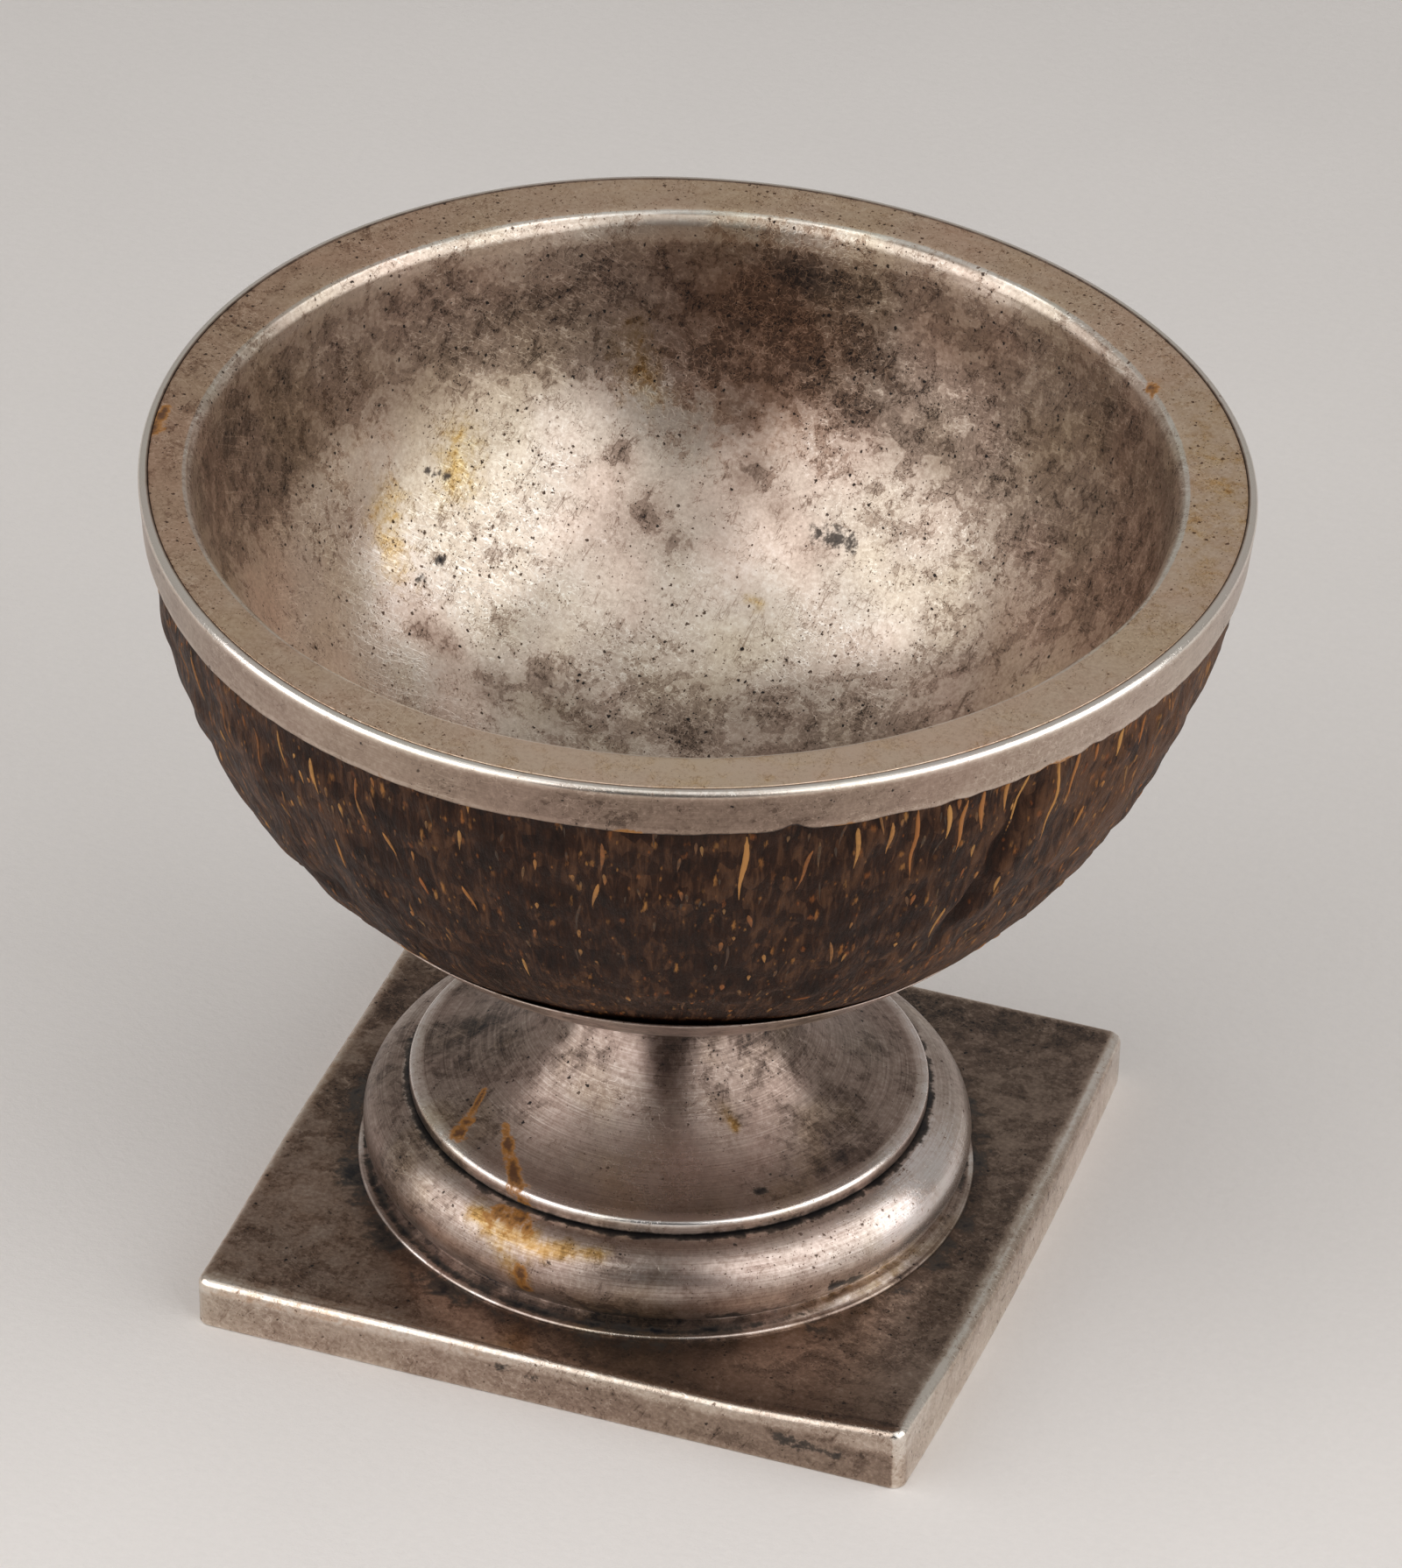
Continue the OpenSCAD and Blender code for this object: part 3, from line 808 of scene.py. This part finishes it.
lift = np.where(ridge > 0, fibres["highest"] * (0.4 + 0.6 * strength) * taper, -0.05) - 0.2 * (ridge < 0)
points = shellPoint(spin, upward, lift + 0 * spin)
rings = np.arange(number * steps * 4).reshape(number, steps, 4)
turnedOn = np.roll(rings, -1, 2)
sides = np.stack([rings[:, :-1], turnedOn[:, :-1], turnedOn[:, 1:], rings[:, 1:]], -1)
caps = np.concatenate([rings[:, 0, ::-1], rings[:, -1]])
faces = np.concatenate([sides.reshape(-1, 4), caps])
marks = {"shade": strength, "warmth": draw.uniform(0, 1, (number, 1, 1))}
marks = {mark: np.broadcast_to(values, rings.shape).reshape(-1, 1) for mark, values in marks.items()}
fibreMesh = meshOf("fibres", points.reshape(-1, 3), faces.tolist(), marks)


def fibreFinish():
    material, shader, place = newFinish("fibre")
    blur = noise(place, 1.6, 4, 0.6)
    warm = tint(mark("warmth"), *fibres["warmShades"])
    clear = level(total(mark("shade"), about(blur, 0.9)), 0.1, 0.9)
    colour = tint(clear, fibres["darkShade"], warm)
    plug(shader, {"Base Color": colour, "Roughness": 0.6, "Specular IOR Level": 0.3})
    bumped(shader, 0.4, 0.1, blur)
    return material


piece("fibres", fibreMesh, fibreFinish(), None)

# What the calyx, the pedestal and the foot ring share
foot = {
    "neck": 7.3,           # radius where the pedestal meets the calyx
    "look": oldSilver | {
        "blotchSize": 9.0, "blotch": 0.40, "mottleSize": 1.8, "mottle": 0.35, "films": [0.58, 0.70, 0.84],
        "film": 0.07, "grit": 0.50, "turned": 0.75, "lines": 0.50, "brushed": 0.9, "specks": 0.10,
        "pit": 0.45, "smooth": 0.24, "rough": 0.44, "hueSize": 9.0,
        "hues": [(0.35, (1.0, 0.94, 0.97)), (0.55, (0.97, 0.96, 0.98)), (0.7, (1.0, 0.96, 0.87))],
    },
    "rust": [
        ((-13.3, -11.5, 16.3), (-13.5, -13.8, 15.5), 0.35, 0.55),
        ((-13.5, -13.8, 15.5), (-13.7, -17.0, 14.8), 0.55, 1.4),
        ((-9.9, -15.3, 15.9), (-8.9, -17.6, 15.4), 0.5, 0.85),
        ((-8.9, -17.6, 15.4), (-6.7, -21.3, 14.7), 0.85, 1.2),
        ((-6.7, -21.3, 14.7), (-5.5, -22.8, 13.1), 1.2, 1.6),
        ((-7.6, -23.6, 12.7), (-5.0, -24.0, 12.7), 1.7, 1.8),
        ((-4.5, -26.5, 9.4), (-3.9, -26.6, 7.8), 0.9, 1.0),
    ],
    "gold": [
        ((-9.3, -23.8, 12.2), (-4.0, -25.2, 12.0), 2.8, 2.8),
        ((-6.6, -25.4, 11.2), (-4.2, -26.6, 8.0), 2.4, 2.0),
        ((-4.0, -25.6, 11.6), (2.6, -25.2, 12.2), 2.4, 1.4),
        ((-17.5, -4.5, 17.0), (-17.0, -2.0, 17.5), 1.1, 1.1),
        ((9.6, -11.0, 17.9), (7.9, -9.8, 18.8), 1.0, 1.0),
    ],
    "worn": [
        ((17.4, -10.0, 15.2), 1.1, 0.16), ((19.0, -8.2, 15.1), 1.2, 0.20), ((20.3, -6.8, 15.0), 1.0, 0.16),
        ((8.6, -10.3, 18.4), 2.0, 0.10), ((-17.3, -3.2, 17.2), 2.0, 0.10), ((5.6, -5.6, 26), 4.0, 0.16),
        ((2.2, -8.2, 25), 2.6, 0.19), ((2.6, -9.5, 22), 2.2, 0.18), ((3.0, -11.0, 19.6), 2.0, 0.17),
        ((5, -18, 15.5), 5.0, -0.27), ((9, -4, 23), 4.0, 0.06), ((25.5, -8.5, 7.5), 4.0, -0.25),
        ((14, -9, 16), 5.0, 0.05), ((17, -2, 16.2), 3.0, 0.08), ((-16, -7, 16), 6.0, 0.07),
    ],
    "soot": [
        ((21.0, -16.7, 7.8), (22.6, -14.1, 7.4), 0.7, 0.6),
        ((13.4, -15.4, 15.2), (13.9, -15.0, 15.2), 0.5, 0.5),
    ],
}
footSilver = silver("footSilver", foot["look"])
neck = foot["neck"]

# Calyx: a shallow dish under the shell, its edge a thin line
theta = around(calyx["columns"])
calyxIn = calyx["ball"]
calyxOut = calyxIn + calyx["wall"]
edgeTurn = math.degrees(math.asin((calyxMiddle - calyxTop) / calyxIn))
boltTurn = math.degrees(math.acos(boltHole / calyxIn))
lipMiddle = calyxIn + calyx["edge"] / 2
lipTurn = math.radians(edgeTurn)
lipPoint = (lipMiddle * math.cos(lipTurn), calyxMiddle - lipMiddle * math.sin(lipTurn))
under = np.linspace(-boltTurn, -edgeTurn - 0.4, 48)
thick = calyx["edge"] + (calyx["wall"] - calyx["edge"]) * (1 - ease(under, -edgeTurn - 9, -edgeTurn - 0.4))
under = np.radians(under)
profile = joined(
    np.stack([(calyxIn + thick) * np.cos(under), calyxMiddle + (calyxIn + thick) * np.sin(under)], 1),
    arc(lipPoint, calyx["edge"] / 2, -edgeTurn, 180 - edgeTurn, 9),
    arc((0, calyxMiddle), calyxIn, -edgeTurn - 0.4, -boltTurn, 24),
)
along, radius, height = measured(profile)
push = 0.03 * ripple(theta, along, 8, 8, 12, 71) * (radius > 9)
grid = turned(profile, theta, push)
tarnishAndLight = 0.58 - 0.12 * bell(height, calyxTop, 0.4) + 0.3 * bell(radius, neck, 1.0) + 0 * theta
marks = {"grain": grainOf(theta, along, calyxRadius), "tarnishAndLight": tarnishAndLight}
piece("calyx", surface("calyx", grid, True, marks), footSilver, "calyx")

# Pedestal: a trumpet on a thick-edged disc, turned, hollow below
pedestal = {
    "edgeHeight": 1.5,
    "edgeWidth": 2.0,
    "edgeRound": 0.45,
    "lowRound": 0.3,
    "flare": 19.0,         # radius of the trumpet's curve
    "wall": 1.0,
    "plate": 1.5,          # thickness of the plate that closes the neck
    "grainRadius": 15.0,   # where the turned lines are measured
    "columns": 480,
}
theta = around(pedestal["columns"])
edgeRound = pedestal["edgeRound"]
discTop = discLow + pedestal["edgeHeight"]
span = np.array([neck - discRadius, calyxLow - discTop])
rise = math.sqrt(pedestal["flare"] ** 2 - (span @ span) / 4) / math.sqrt(span @ span)
flareMiddle = ((discRadius + neck) / 2 + span[1] * rise, (discTop + calyxLow) / 2 - span[0] * rise)
flareStart = math.degrees(math.atan2(discTop - flareMiddle[1], discRadius - flareMiddle[0]))
flareEnd = math.degrees(math.atan2(calyxLow - flareMiddle[1], neck - flareMiddle[0]))
hollowHigh = calyxLow - pedestal["plate"]
innerFlare = pedestal["flare"] + pedestal["wall"]
neckSeat = calyxMiddle - math.sqrt((calyxOut + 0.05) ** 2 - neck ** 2)
profile = joined(
    straight((discRadius - pedestal["edgeWidth"], discLow), (discRadius - 0.4, discLow), 4),
    rounding(discRadius, discLow, pedestal["lowRound"], -90, 5),
    straight((discRadius, discLow + 0.35), (discRadius, discTop - edgeRound), 6),
    arc((discRadius - edgeRound, discTop - edgeRound), edgeRound, 0, 75, 9),
    arc(flareMiddle, pedestal["flare"], flareStart % 360 - 2.5, flareEnd % 360, 84),
    straight((neck, neckSeat - 0.05), (boltHole, calyxLow - 0.05), 6),
    straight((boltHole, calyxLow - 0.3), (boltHole, hollowHigh), 3),
    straight((boltHole + 0.3, hollowHigh), (flareMiddle[0] - innerFlare + 2.5, hollowHigh), 5),
    arc(flareMiddle, innerFlare, 180 + 14, flareStart % 360 - 8, 24),
)
along, radius, height = measured(profile)
push = 0.03 * ripple(theta, along, 8, 6, 9, 81) * (height > discLow + 0.5)
grid = turned(profile, theta, push)
wearAndHighlight = bell(height, discTop - 0.1, 0.30) * (radius > discRadius - 1.2)
onWall = bell(height, discTop - 0.95, 0.45) * (radius > discRadius - 0.3)
tarnishAndLight = 0.56 - 0.44 * wearAndHighlight + 0.10 * onWall
# darker at the neck under the dish and down its upper part: painted shade
tarnishAndLight = tarnishAndLight + 0.25 * bell(height, neckTop, 1.0) + 0.06 * bell(height, neckTop - 4, 3)
# paler at the front that faces the camera: painted light; and worn places
tarnishAndLight = tarnishAndLight - 0.16 * lobe(theta, -75, 40) + blots(grid, foot["worn"])
marks = {"grain": grainOf(theta, along, pedestal["grainRadius"]), "tarnishAndLight": tarnishAndLight, **stained(grid, foot)}
marks["soot"] = np.maximum(marks["soot"], 1.1 * bell(height, discLow, 0.25))
piece("pedestal", surface("pedestal", grid, True, marks), footSilver, "pedestal")

# Foot ring: a half-round moulding of sheet, with an uneven line of solder at its base
ring = {
    "section": 4.0,
    "wall": 1.0,
    "seat": 2.5,
    "toe": 0.2,
    "skirtTurn": -54.0,    # where the round ends above the toe, as an angle of its section
    "solderTurn": -27.0,
    "columns": 640,
    # base tarnish, and lobes of painted light and shade: darker at the front and left, a painted highlight on
    # the right
    "tarnishAndLight": (0.41, [(0.08, -84, 24), (-0.14, -16, 26), (-0.22, -1, 14), (0.16, -155, 30)]),
}
theta = around(ring["columns"])
ringMiddle = (discRadius, ringLow + ring["section"])
boreRadius = discRadius - ring["seat"]
inSection = ring["section"] - ring["wall"]
toe = np.array([ringRadius - 2 * ring["toe"], ringLow + 0.1 + ring["toe"]])
skirtTop = arc(ringMiddle, ring["section"], ring["skirtTurn"], 90, 2)[0]
share = np.linspace(0, 1, 14)[:, None]
skirt = toe + (skirtTop - toe) * np.concatenate([share, share ** 2.4], 1)  # from the toe up to the round
profile = joined(
    straight((boreRadius, ringLow), (ringRadius - 0.1, ringLow), 8),
    arc((ringRadius - ring["toe"], ringLow + 0.1), ring["toe"], -30, 95, 8),
    skirt,
    arc(ringMiddle, ring["section"], ring["skirtTurn"], 90, 44),
    straight((discRadius, ringTop), (boreRadius, ringTop), 5),
    straight((boreRadius, ringTop - ring["wall"]), (discRadius, ringTop - ring["wall"]), 4),
    arc(ringMiddle, inSection, 90, -90, 16),
    straight((discRadius, ringLow + ring["wall"]), (boreRadius, ringLow + ring["wall"]), 4),
)
along, radius, height = measured(profile)
low = (radius > skirtTop[0] - 0.1) * (height > ringLow + 0.01) * (height < skirtTop[1] + 0.1)
onToe = low * ease(radius, ringRadius - 0.65, ringRadius - 0.4)
onSkirt = low * (1 - onToe)
outside = (radius > discRadius + 0.5) * (height > skirtTop[1])
soldered = lobe(theta, ring["solderTurn"], 28)
push = 0.04 * ripple(theta, along, 8, 6, 9, 91) * outside
filled = 0.30 * soldered + 0.03 * ripple(theta, along, 26, 45, 2.5, 92)
push = push + filled * onSkirt * bell(radius, ringRadius - 1.2, 0.6)
grid = turned(profile, theta, push, True, 0.03 * ripple(theta, 0, 10, 14, 1, 95) * onToe)
patches = ease(ripple(theta, along, 30, 80, 1.4, 93), -0.2, 0.9)
glint = ease(ripple(theta, 0, 14, 40, 1, 96), -0.6, 0.8)
# darker on the lower front of the round: painted shade
lower = bell(height, ringLow + 2.0, 1.2) * lobe(theta, -75, 45)
fresh, paintedLightLobes = ring["tarnishAndLight"]
tarnishAndLight = fresh + (lobes(theta, 0.10 * lower, paintedLightLobes) + blots(grid, foot["worn"])) * outside
tarnishAndLight = tarnishAndLight + (0.28 - 0.40 * (0.7 + 0.3 * patches) * soldered) * onSkirt
tarnishAndLight = tarnishAndLight - (0.02 + 0.22 * glint - 0.20 * soldered) * onToe
marks = {"grain": grainOf(theta, along, discRadius), "tarnishAndLight": tarnishAndLight, **stained(grid, foot)}
groove = 1.1 * bell(radius, discRadius, 0.5) * (height > ringTop - 0.3)
seam = (0.75 + 0.15 * ripple(theta, along, 16, 30, 3, 94)) * (1 - soldered)
seam = seam * bell(radius, ringRadius - 0.85, 0.35) * low
# painted shade under the front of the round, laid into the soot and shade mark
shadowed = (0.40 + 0.30 * ripple(theta, along, 24, 40, 2, 97)) * lobe(theta, -72, 34)
shadowed = shadowed * bell(height, ringLow + 1.3, 0.8) * outside
marks["soot"] = np.maximum(np.maximum(marks["soot"], groove), np.maximum(seam, shadowed))
marks["gold"] = np.maximum(marks["gold"], 0.45 * soldered * onSkirt)
marks["pits"] = 0.45 * lobe(theta, -36, 22) * outside
piece("footRing", surface("footRing", grid, True, marks), footSilver, "foot_ring")

# Plinth: a square tray, open below, from a round opening out to rounded sides, one corner bent up
plinth = {
    "wall": 1.2,
    "cornerRound": 1.2,
    "edgeRound": 0.8,
    "footRound": 0.2,
    "sideColumns": 110,
    "cornerColumns": 9,
    "bow": 0.8,            # the right side bows outward
    "tuck": 0.45,          # the left front corner is drawn in
    "lean": 0.4,           # the front wall leans in at its foot
    "soot": [  # a scored line and a dark patch on the front wall
        ((-6.4, -32.6, 3), (-3.6, -32.6, 3.4), 0.12, 0.3),
        ((-3.6, -32.6, 3.4), (-2.4, -32.6, 3.1), 0.3, 0.3),
        ((-2.4, -32.6, 3.1), (0.7, -32.6, 2.6), 0.3, 0.08),
        ((21.3, -32.6, 2.7), (24.1, -32.6, 2.6), 0.5, 1.0),
        ((24.1, -32.6, 2.6), (26.8, -32.6, 2.5), 1.0, 0.6),
    ],
    "bentCorner": (1, -1),
    "bend": 1.2,
    "bendReach": 18.0,
    "look": oldSilver | {
        "blotchSize": 10.0, "blotch": 0.38, "mottle": 0.30, "films": [0.62, 0.76], "film": 0.05, "grit": 0.65,
        "dust": 0.16, "scratch": 0.16, "darkScratches": [(10, 60, 10), (-30, 20, -80)], "specks": 0.12,
        "smooth": 0.20, "rough": 0.42, "bump": 0.35,
        "hues": [(0.3, (1.0, 0.95, 0.93)), (0.7, (0.98, 0.96, 0.92))],
    },
}
corner = plinth["cornerRound"]
inset = plinthHalf - corner
quarter = np.linspace(0, 90, plinth["cornerColumns"] + 2)[1:-1]
sideRun = np.linspace(-inset, inset, plinth["sideColumns"])
cornerTurn = np.radians(quarter)
sidePoints = np.concatenate([
    np.stack([0 * sideRun + plinthHalf, sideRun], 1),
    np.stack([inset + corner * np.cos(cornerTurn), inset + corner * np.sin(cornerTurn)], 1),
])
sideOut = np.concatenate([
    np.stack([0 * sideRun + 1, 0 * sideRun], 1),
    np.stack([np.cos(cornerTurn), np.sin(cornerTurn)], 1),
])
spins = [np.array([[math.cos(a), math.sin(a)], [-math.sin(a), math.cos(a)]]) for a in np.arange(4) * tau / 4]
rim = np.concatenate([sidePoints @ spin for spin in spins])
out = np.concatenate([sideOut @ spin for spin in spins])
theta = np.arctan2(rim[:, 1], rim[:, 0])
bore = boreRadius * np.stack([np.cos(theta), np.sin(theta)], 1)
edge = plinth["edgeRound"]
wall = plinth["wall"]
section = joined(  # inset from the sides, then height, from the top's edge down, round the foot and up inside
    rounding(0, plinthTop, edge, 90, 10),
    straight((0, plinthTop - edge - 0.2), (0, 0.3), 7),
    rounding(0, 0, plinth["footRound"], 180, 4),
    straight((0.4, 0), (wall - 0.2, 0), 3),
    straight((wall, 0.2), (wall, plinthTop - wall), 6),
)


def sheetBetween(start, end, share, high):
    # rows of points from one outline to another, at one height
    share = share[:, None, None]
    return np.concatenate([start + (end - start) * share, 0 * start[None, :, :1] + high + 0 * share], -1)


walls = np.concatenate([rim - section[:, None, :1] * out, 0 * rim[None, :, :1] + section[:, None, 1:]], -1)
topSheet = sheetBetween(bore, rim - edge * out, np.linspace(0, 1, 42) ** 0.8, plinthTop)
underSheet = sheetBetween(rim - wall * out, bore, np.linspace(0.02, 1, 10), plinthTop - wall)
grid = np.concatenate([topSheet[:-1], walls, underSheet])
share = grid[..., :2] / plinthHalf
tucked = 1 - ease(np.linalg.norm(share - np.array([-1, -1]), axis=-1), 0, 0.9)
bowed = plinth["bow"] * ease(share[..., 0], 0, 1) * (1 - share[..., 1] ** 2)
leaning = plinth["lean"] * (1 - ease(grid[..., 2], 0, plinthTop)) * ease(-share[..., 1], 0.8, 1)
grid[..., 0] += bowed + plinth["tuck"] * tucked
grid[..., 1] += leaning
cornerAt = np.array(plinth["bentCorner"]) * plinthHalf
gap = np.linalg.norm(grid[..., :2] - cornerAt, axis=-1)
lift = plinth["bend"] * (1 - ease(gap, 0, plinth["bendReach"])) * ease(grid[..., 2], 0.5, plinthTop)
distance = np.linalg.norm(grid[..., :2], axis=-1)
spin = np.arctan2(grid[..., 1], grid[..., 0])
wavy = ripple(spin, distance, 14, 9, 16, 101) * 0.07
wavy = wavy * ease(distance, ringRadius, ringRadius + 4) * ease(grid[..., 2], 1.0, plinthTop)
grid[..., 2] += lift + wavy
fromEdge = plinthHalf - np.abs(grid[..., :2]).max(-1)
onTop = grid[..., 2] > plinthTop - 1.1
wearAndHighlight = bell(fromEdge, 0.3, 0.55) * onTop + 0.5 * bell(grid[..., 2], 0, 0.3)
bothSides = np.abs(grid[..., :2]).min(-1)
wearAndHighlight = wearAndHighlight + 0.6 * bell(bothSides, plinthHalf, 0.9) * (fromEdge < 1)
sandy = bell(distance, ringRadius + 0.7, 0.9) * lobe(spin, -48, 22) * onTop
# darker towards the back of the top and on the front wall's right, paler on the right side:
tarnishAndLight = 0.50 - 0.20 * sandy + (0.155 - 0.01 * share[..., 0] + 0.07 * share[..., 1]) * onTop
# painted shade and light; paler by the solder, and worn edges
tarnishAndLight = tarnishAndLight + 0.14 * share[..., 0] * (share[..., 1] < -0.95) - 0.26 * (share[..., 0] > 0.97)
tarnishAndLight = tarnishAndLight - 0.42 * np.minimum(wearAndHighlight, 1) + 0.15 * bell(distance, ringRadius, 1.6) * onTop
beside = bell(distance, ringRadius + 0.5, 1.4) * onTop
blackened = 0.34 * (1 - lobe(spin, -48, 26)) + 0.24 * ripple(spin, 0, 12, 24, 1, 102)
soot = np.maximum(beside * blackened, streaks(grid, plinth["soot"]))
warm = (0.10 + 0.20 * ease(-share[..., 0], -0.3, 0.6)) * onTop
marks = {"grain": grid, "tarnishAndLight": tarnishAndLight, "soot": soot, "warm": warm, "gold": 0.4 * sandy}
piece("plinth", surface("plinth", grid, True, marks), silver("plinthSilver", plinth["look"]),
      "plinth")

# Fixing: the bolt, washer and nut keep their solids and get a dull brass
fixing = {
    "nodes": ("fixing_bolt", "fixing_washer", "fixing_nut"),
    "shades": [(0.3, (0.42, 0.29, 0.11)), (0.7, (0.66, 0.50, 0.24))],
}


def brassFinish():
    material, shader, place = newFinish("fixingBrass")
    dull = noise(place, 0.8, 5, 0.6)
    shade = ramp(dull, fixing["shades"])
    plug(shader, {"Base Color": shade, "Roughness": level(dull, 0.3, 0.7, 0.50, 0.30), "Metallic": 1.0})
    bumped(shader, 0.2, 0.05, noise(place, 5, 3))
    return material


brass = brassFinish()
for name in fixing["nodes"]:
    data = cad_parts[name].data
    data.materials.clear()
    data.materials.append(brass)
print("fixing finished")

# Camera: at the photograph's angle, from its place and lens
view = {
    "azimuth": 17.49,
    "elevation": 34.55,
    "roll": 2.38,
    "distance": 900.0,
    "lens": 231.4,
    "film": 36.0,          # its longer side, which is upright
    "middleRight": 3.29,   # how far the frame's middle lies off the origin
    "middleUp": 36.94,
}


def facing(turn, tip):
    # axes of something that looks at the cup from an angle round and an angle up: right, up and back
    back = np.array([math.sin(turn) * math.cos(tip), -math.cos(turn) * math.cos(tip), math.sin(tip)])
    right = np.array([math.cos(turn), math.sin(turn), 0])
    return right, np.cross(back, right), back


def aim(thing, right, up, back, place):
    axes = np.eye(4)
    axes[:3] = np.stack([right, up, back, place * toMetres], 1)
    thing.matrix_world = axes.T.tolist()


turn, tip, roll = (math.radians(view[key]) for key in ("azimuth", "elevation", "roll"))
across, upright, back = facing(turn, tip)
right = math.cos(roll) * across + math.sin(roll) * upright
up = math.cos(roll) * upright - math.sin(roll) * across
ahead = (-back[0], -back[1], 0)  # from the camera to behind the cup, along the floor
eye = right * view["middleRight"] + up * view["middleUp"] + back * view["distance"]
lens = bpy.data.cameras.new("camera")
lens.lens = view["lens"]
lens.sensor_width = view["film"]
lens.sensor_fit = "AUTO"
lens.clip_start = 0.05
camera = placed("camera", lens)
aim(camera, right, up, back, eye)
bpy.context.scene.camera = camera

# Stage: a broad sheet of pale paper, with painted light falloff: paler in front, darker behind
stage = {
    "half": 3000.0,
    "shade": (0.79, 0.75, 0.722),
    "contrast": (0.96, 1.03),  # deepest and palest, times the shade
    "near": 1.04,          # painted light falloff: times the shade in front and behind
    "far": 0.86,
    "reach": 170.0,        # how far it goes on fading, to either side of a line behind the cup
    "shift": 70.0,
}


def paperFinish():
    material, shader, place = newFinish("paper")
    fibre = noise(place, 1.2, 5, 0.7)
    cloud = noise(place, 0.02, 3, 0.5)
    deep, pale = ([times * value for value in stage["shade"]] for times in stage["contrast"])
    colour = ramp(total(scaled(fibre, 0.5), scaled(cloud, 0.5)), [(0.3, deep), (0.7, pale)])
    depth = add("VectorMath", {0: place, 1: ahead}, operation="DOT_PRODUCT").outputs["Value"]
    low, high = stage["shift"] - stage["reach"], stage["shift"] + stage["reach"]
    # painted falloff of light: the paper is paler in front and darker behind
    paintedFalloff = level(depth, low, high, stage["near"], stage["far"])
    colour = add("VectorMath", {0: colour, 3: paintedFalloff}, operation="SCALE").outputs["Vector"]
    plug(shader, {"Base Color": colour, "Roughness": 0.9, "Specular IOR Level": 0.2})
    bumped(shader, 0.25, 0.3, fibre)
    return material


half = stage["half"] * toMetres
sheet = bpy.data.meshes.new("paper")
corners = [(-half, -half, 0), (half, -half, 0), (half, half, 0), (-half, half, 0)]
sheet.from_pydata(corners, [], [(0, 1, 2, 3)])
sheet.materials.append(paperFinish())
paper = placed("paper", sheet)

# Light: two soft boxes to either side of the camera, a weak one above and a dim room
light = {
    "boxes": [  # turn from the camera, height angle, distance, width, height, strength in watts
        ("leftBox", -63.0, 28.0, 760.0, 1100.0, 800.0, 4.8),
        ("rightBox", 63.0, 28.0, 760.0, 1100.0, 800.0, 4.8),
        ("topBox", 0.0, 76.0, 850.0, 800.0, 600.0, 0.8),
    ],
    "middle": 45.0,        # height of the place that the boxes face
    "front": (0.05, 0.052, 0.056, 1),    # the room behind the camera
    "back": (0.36, 0.350, 0.335, 1),     # behind the cup
    "ceiling": (0.40, 0.395, 0.385, 1),  # and overhead
}
for name, aside, rise, distance, width, tall, watts in light["boxes"]:
    lamp = bpy.data.lights.new(name, "AREA")
    lamp.shape = "RECTANGLE"
    lamp.size = width * toMetres
    lamp.size_y = tall * toMetres
    lamp.energy = watts
    across, upright, away = facing(turn + math.radians(aside), math.radians(rise))
    aim(placed(name, lamp), across, upright, away, away * distance + np.array([0, 0, light["middle"]]))
world = bpy.data.worlds.new("room")
bpy.context.scene.world = world
world.use_nodes = True
tree = world.node_tree  # the node helpers now add to the room
toward = add("TexCoord", {}).outputs["Object"]
beyond = add("VectorMath", {0: toward, 1: ahead}, operation="DOT_PRODUCT").outputs["Value"]
above = add("SeparateXYZ", {"Vector": toward}).outputs["Z"]
shade = tint(level(beyond, -0.5, 0.5), light["front"], light["back"])
shade = tint(level(above, 0.5, 0.85), shade, light["ceiling"])
feed(tree.nodes["Background"].inputs["Color"], shade)
bpy.context.scene.view_settings.view_transform = "Standard"
print("camera, stage and light set")
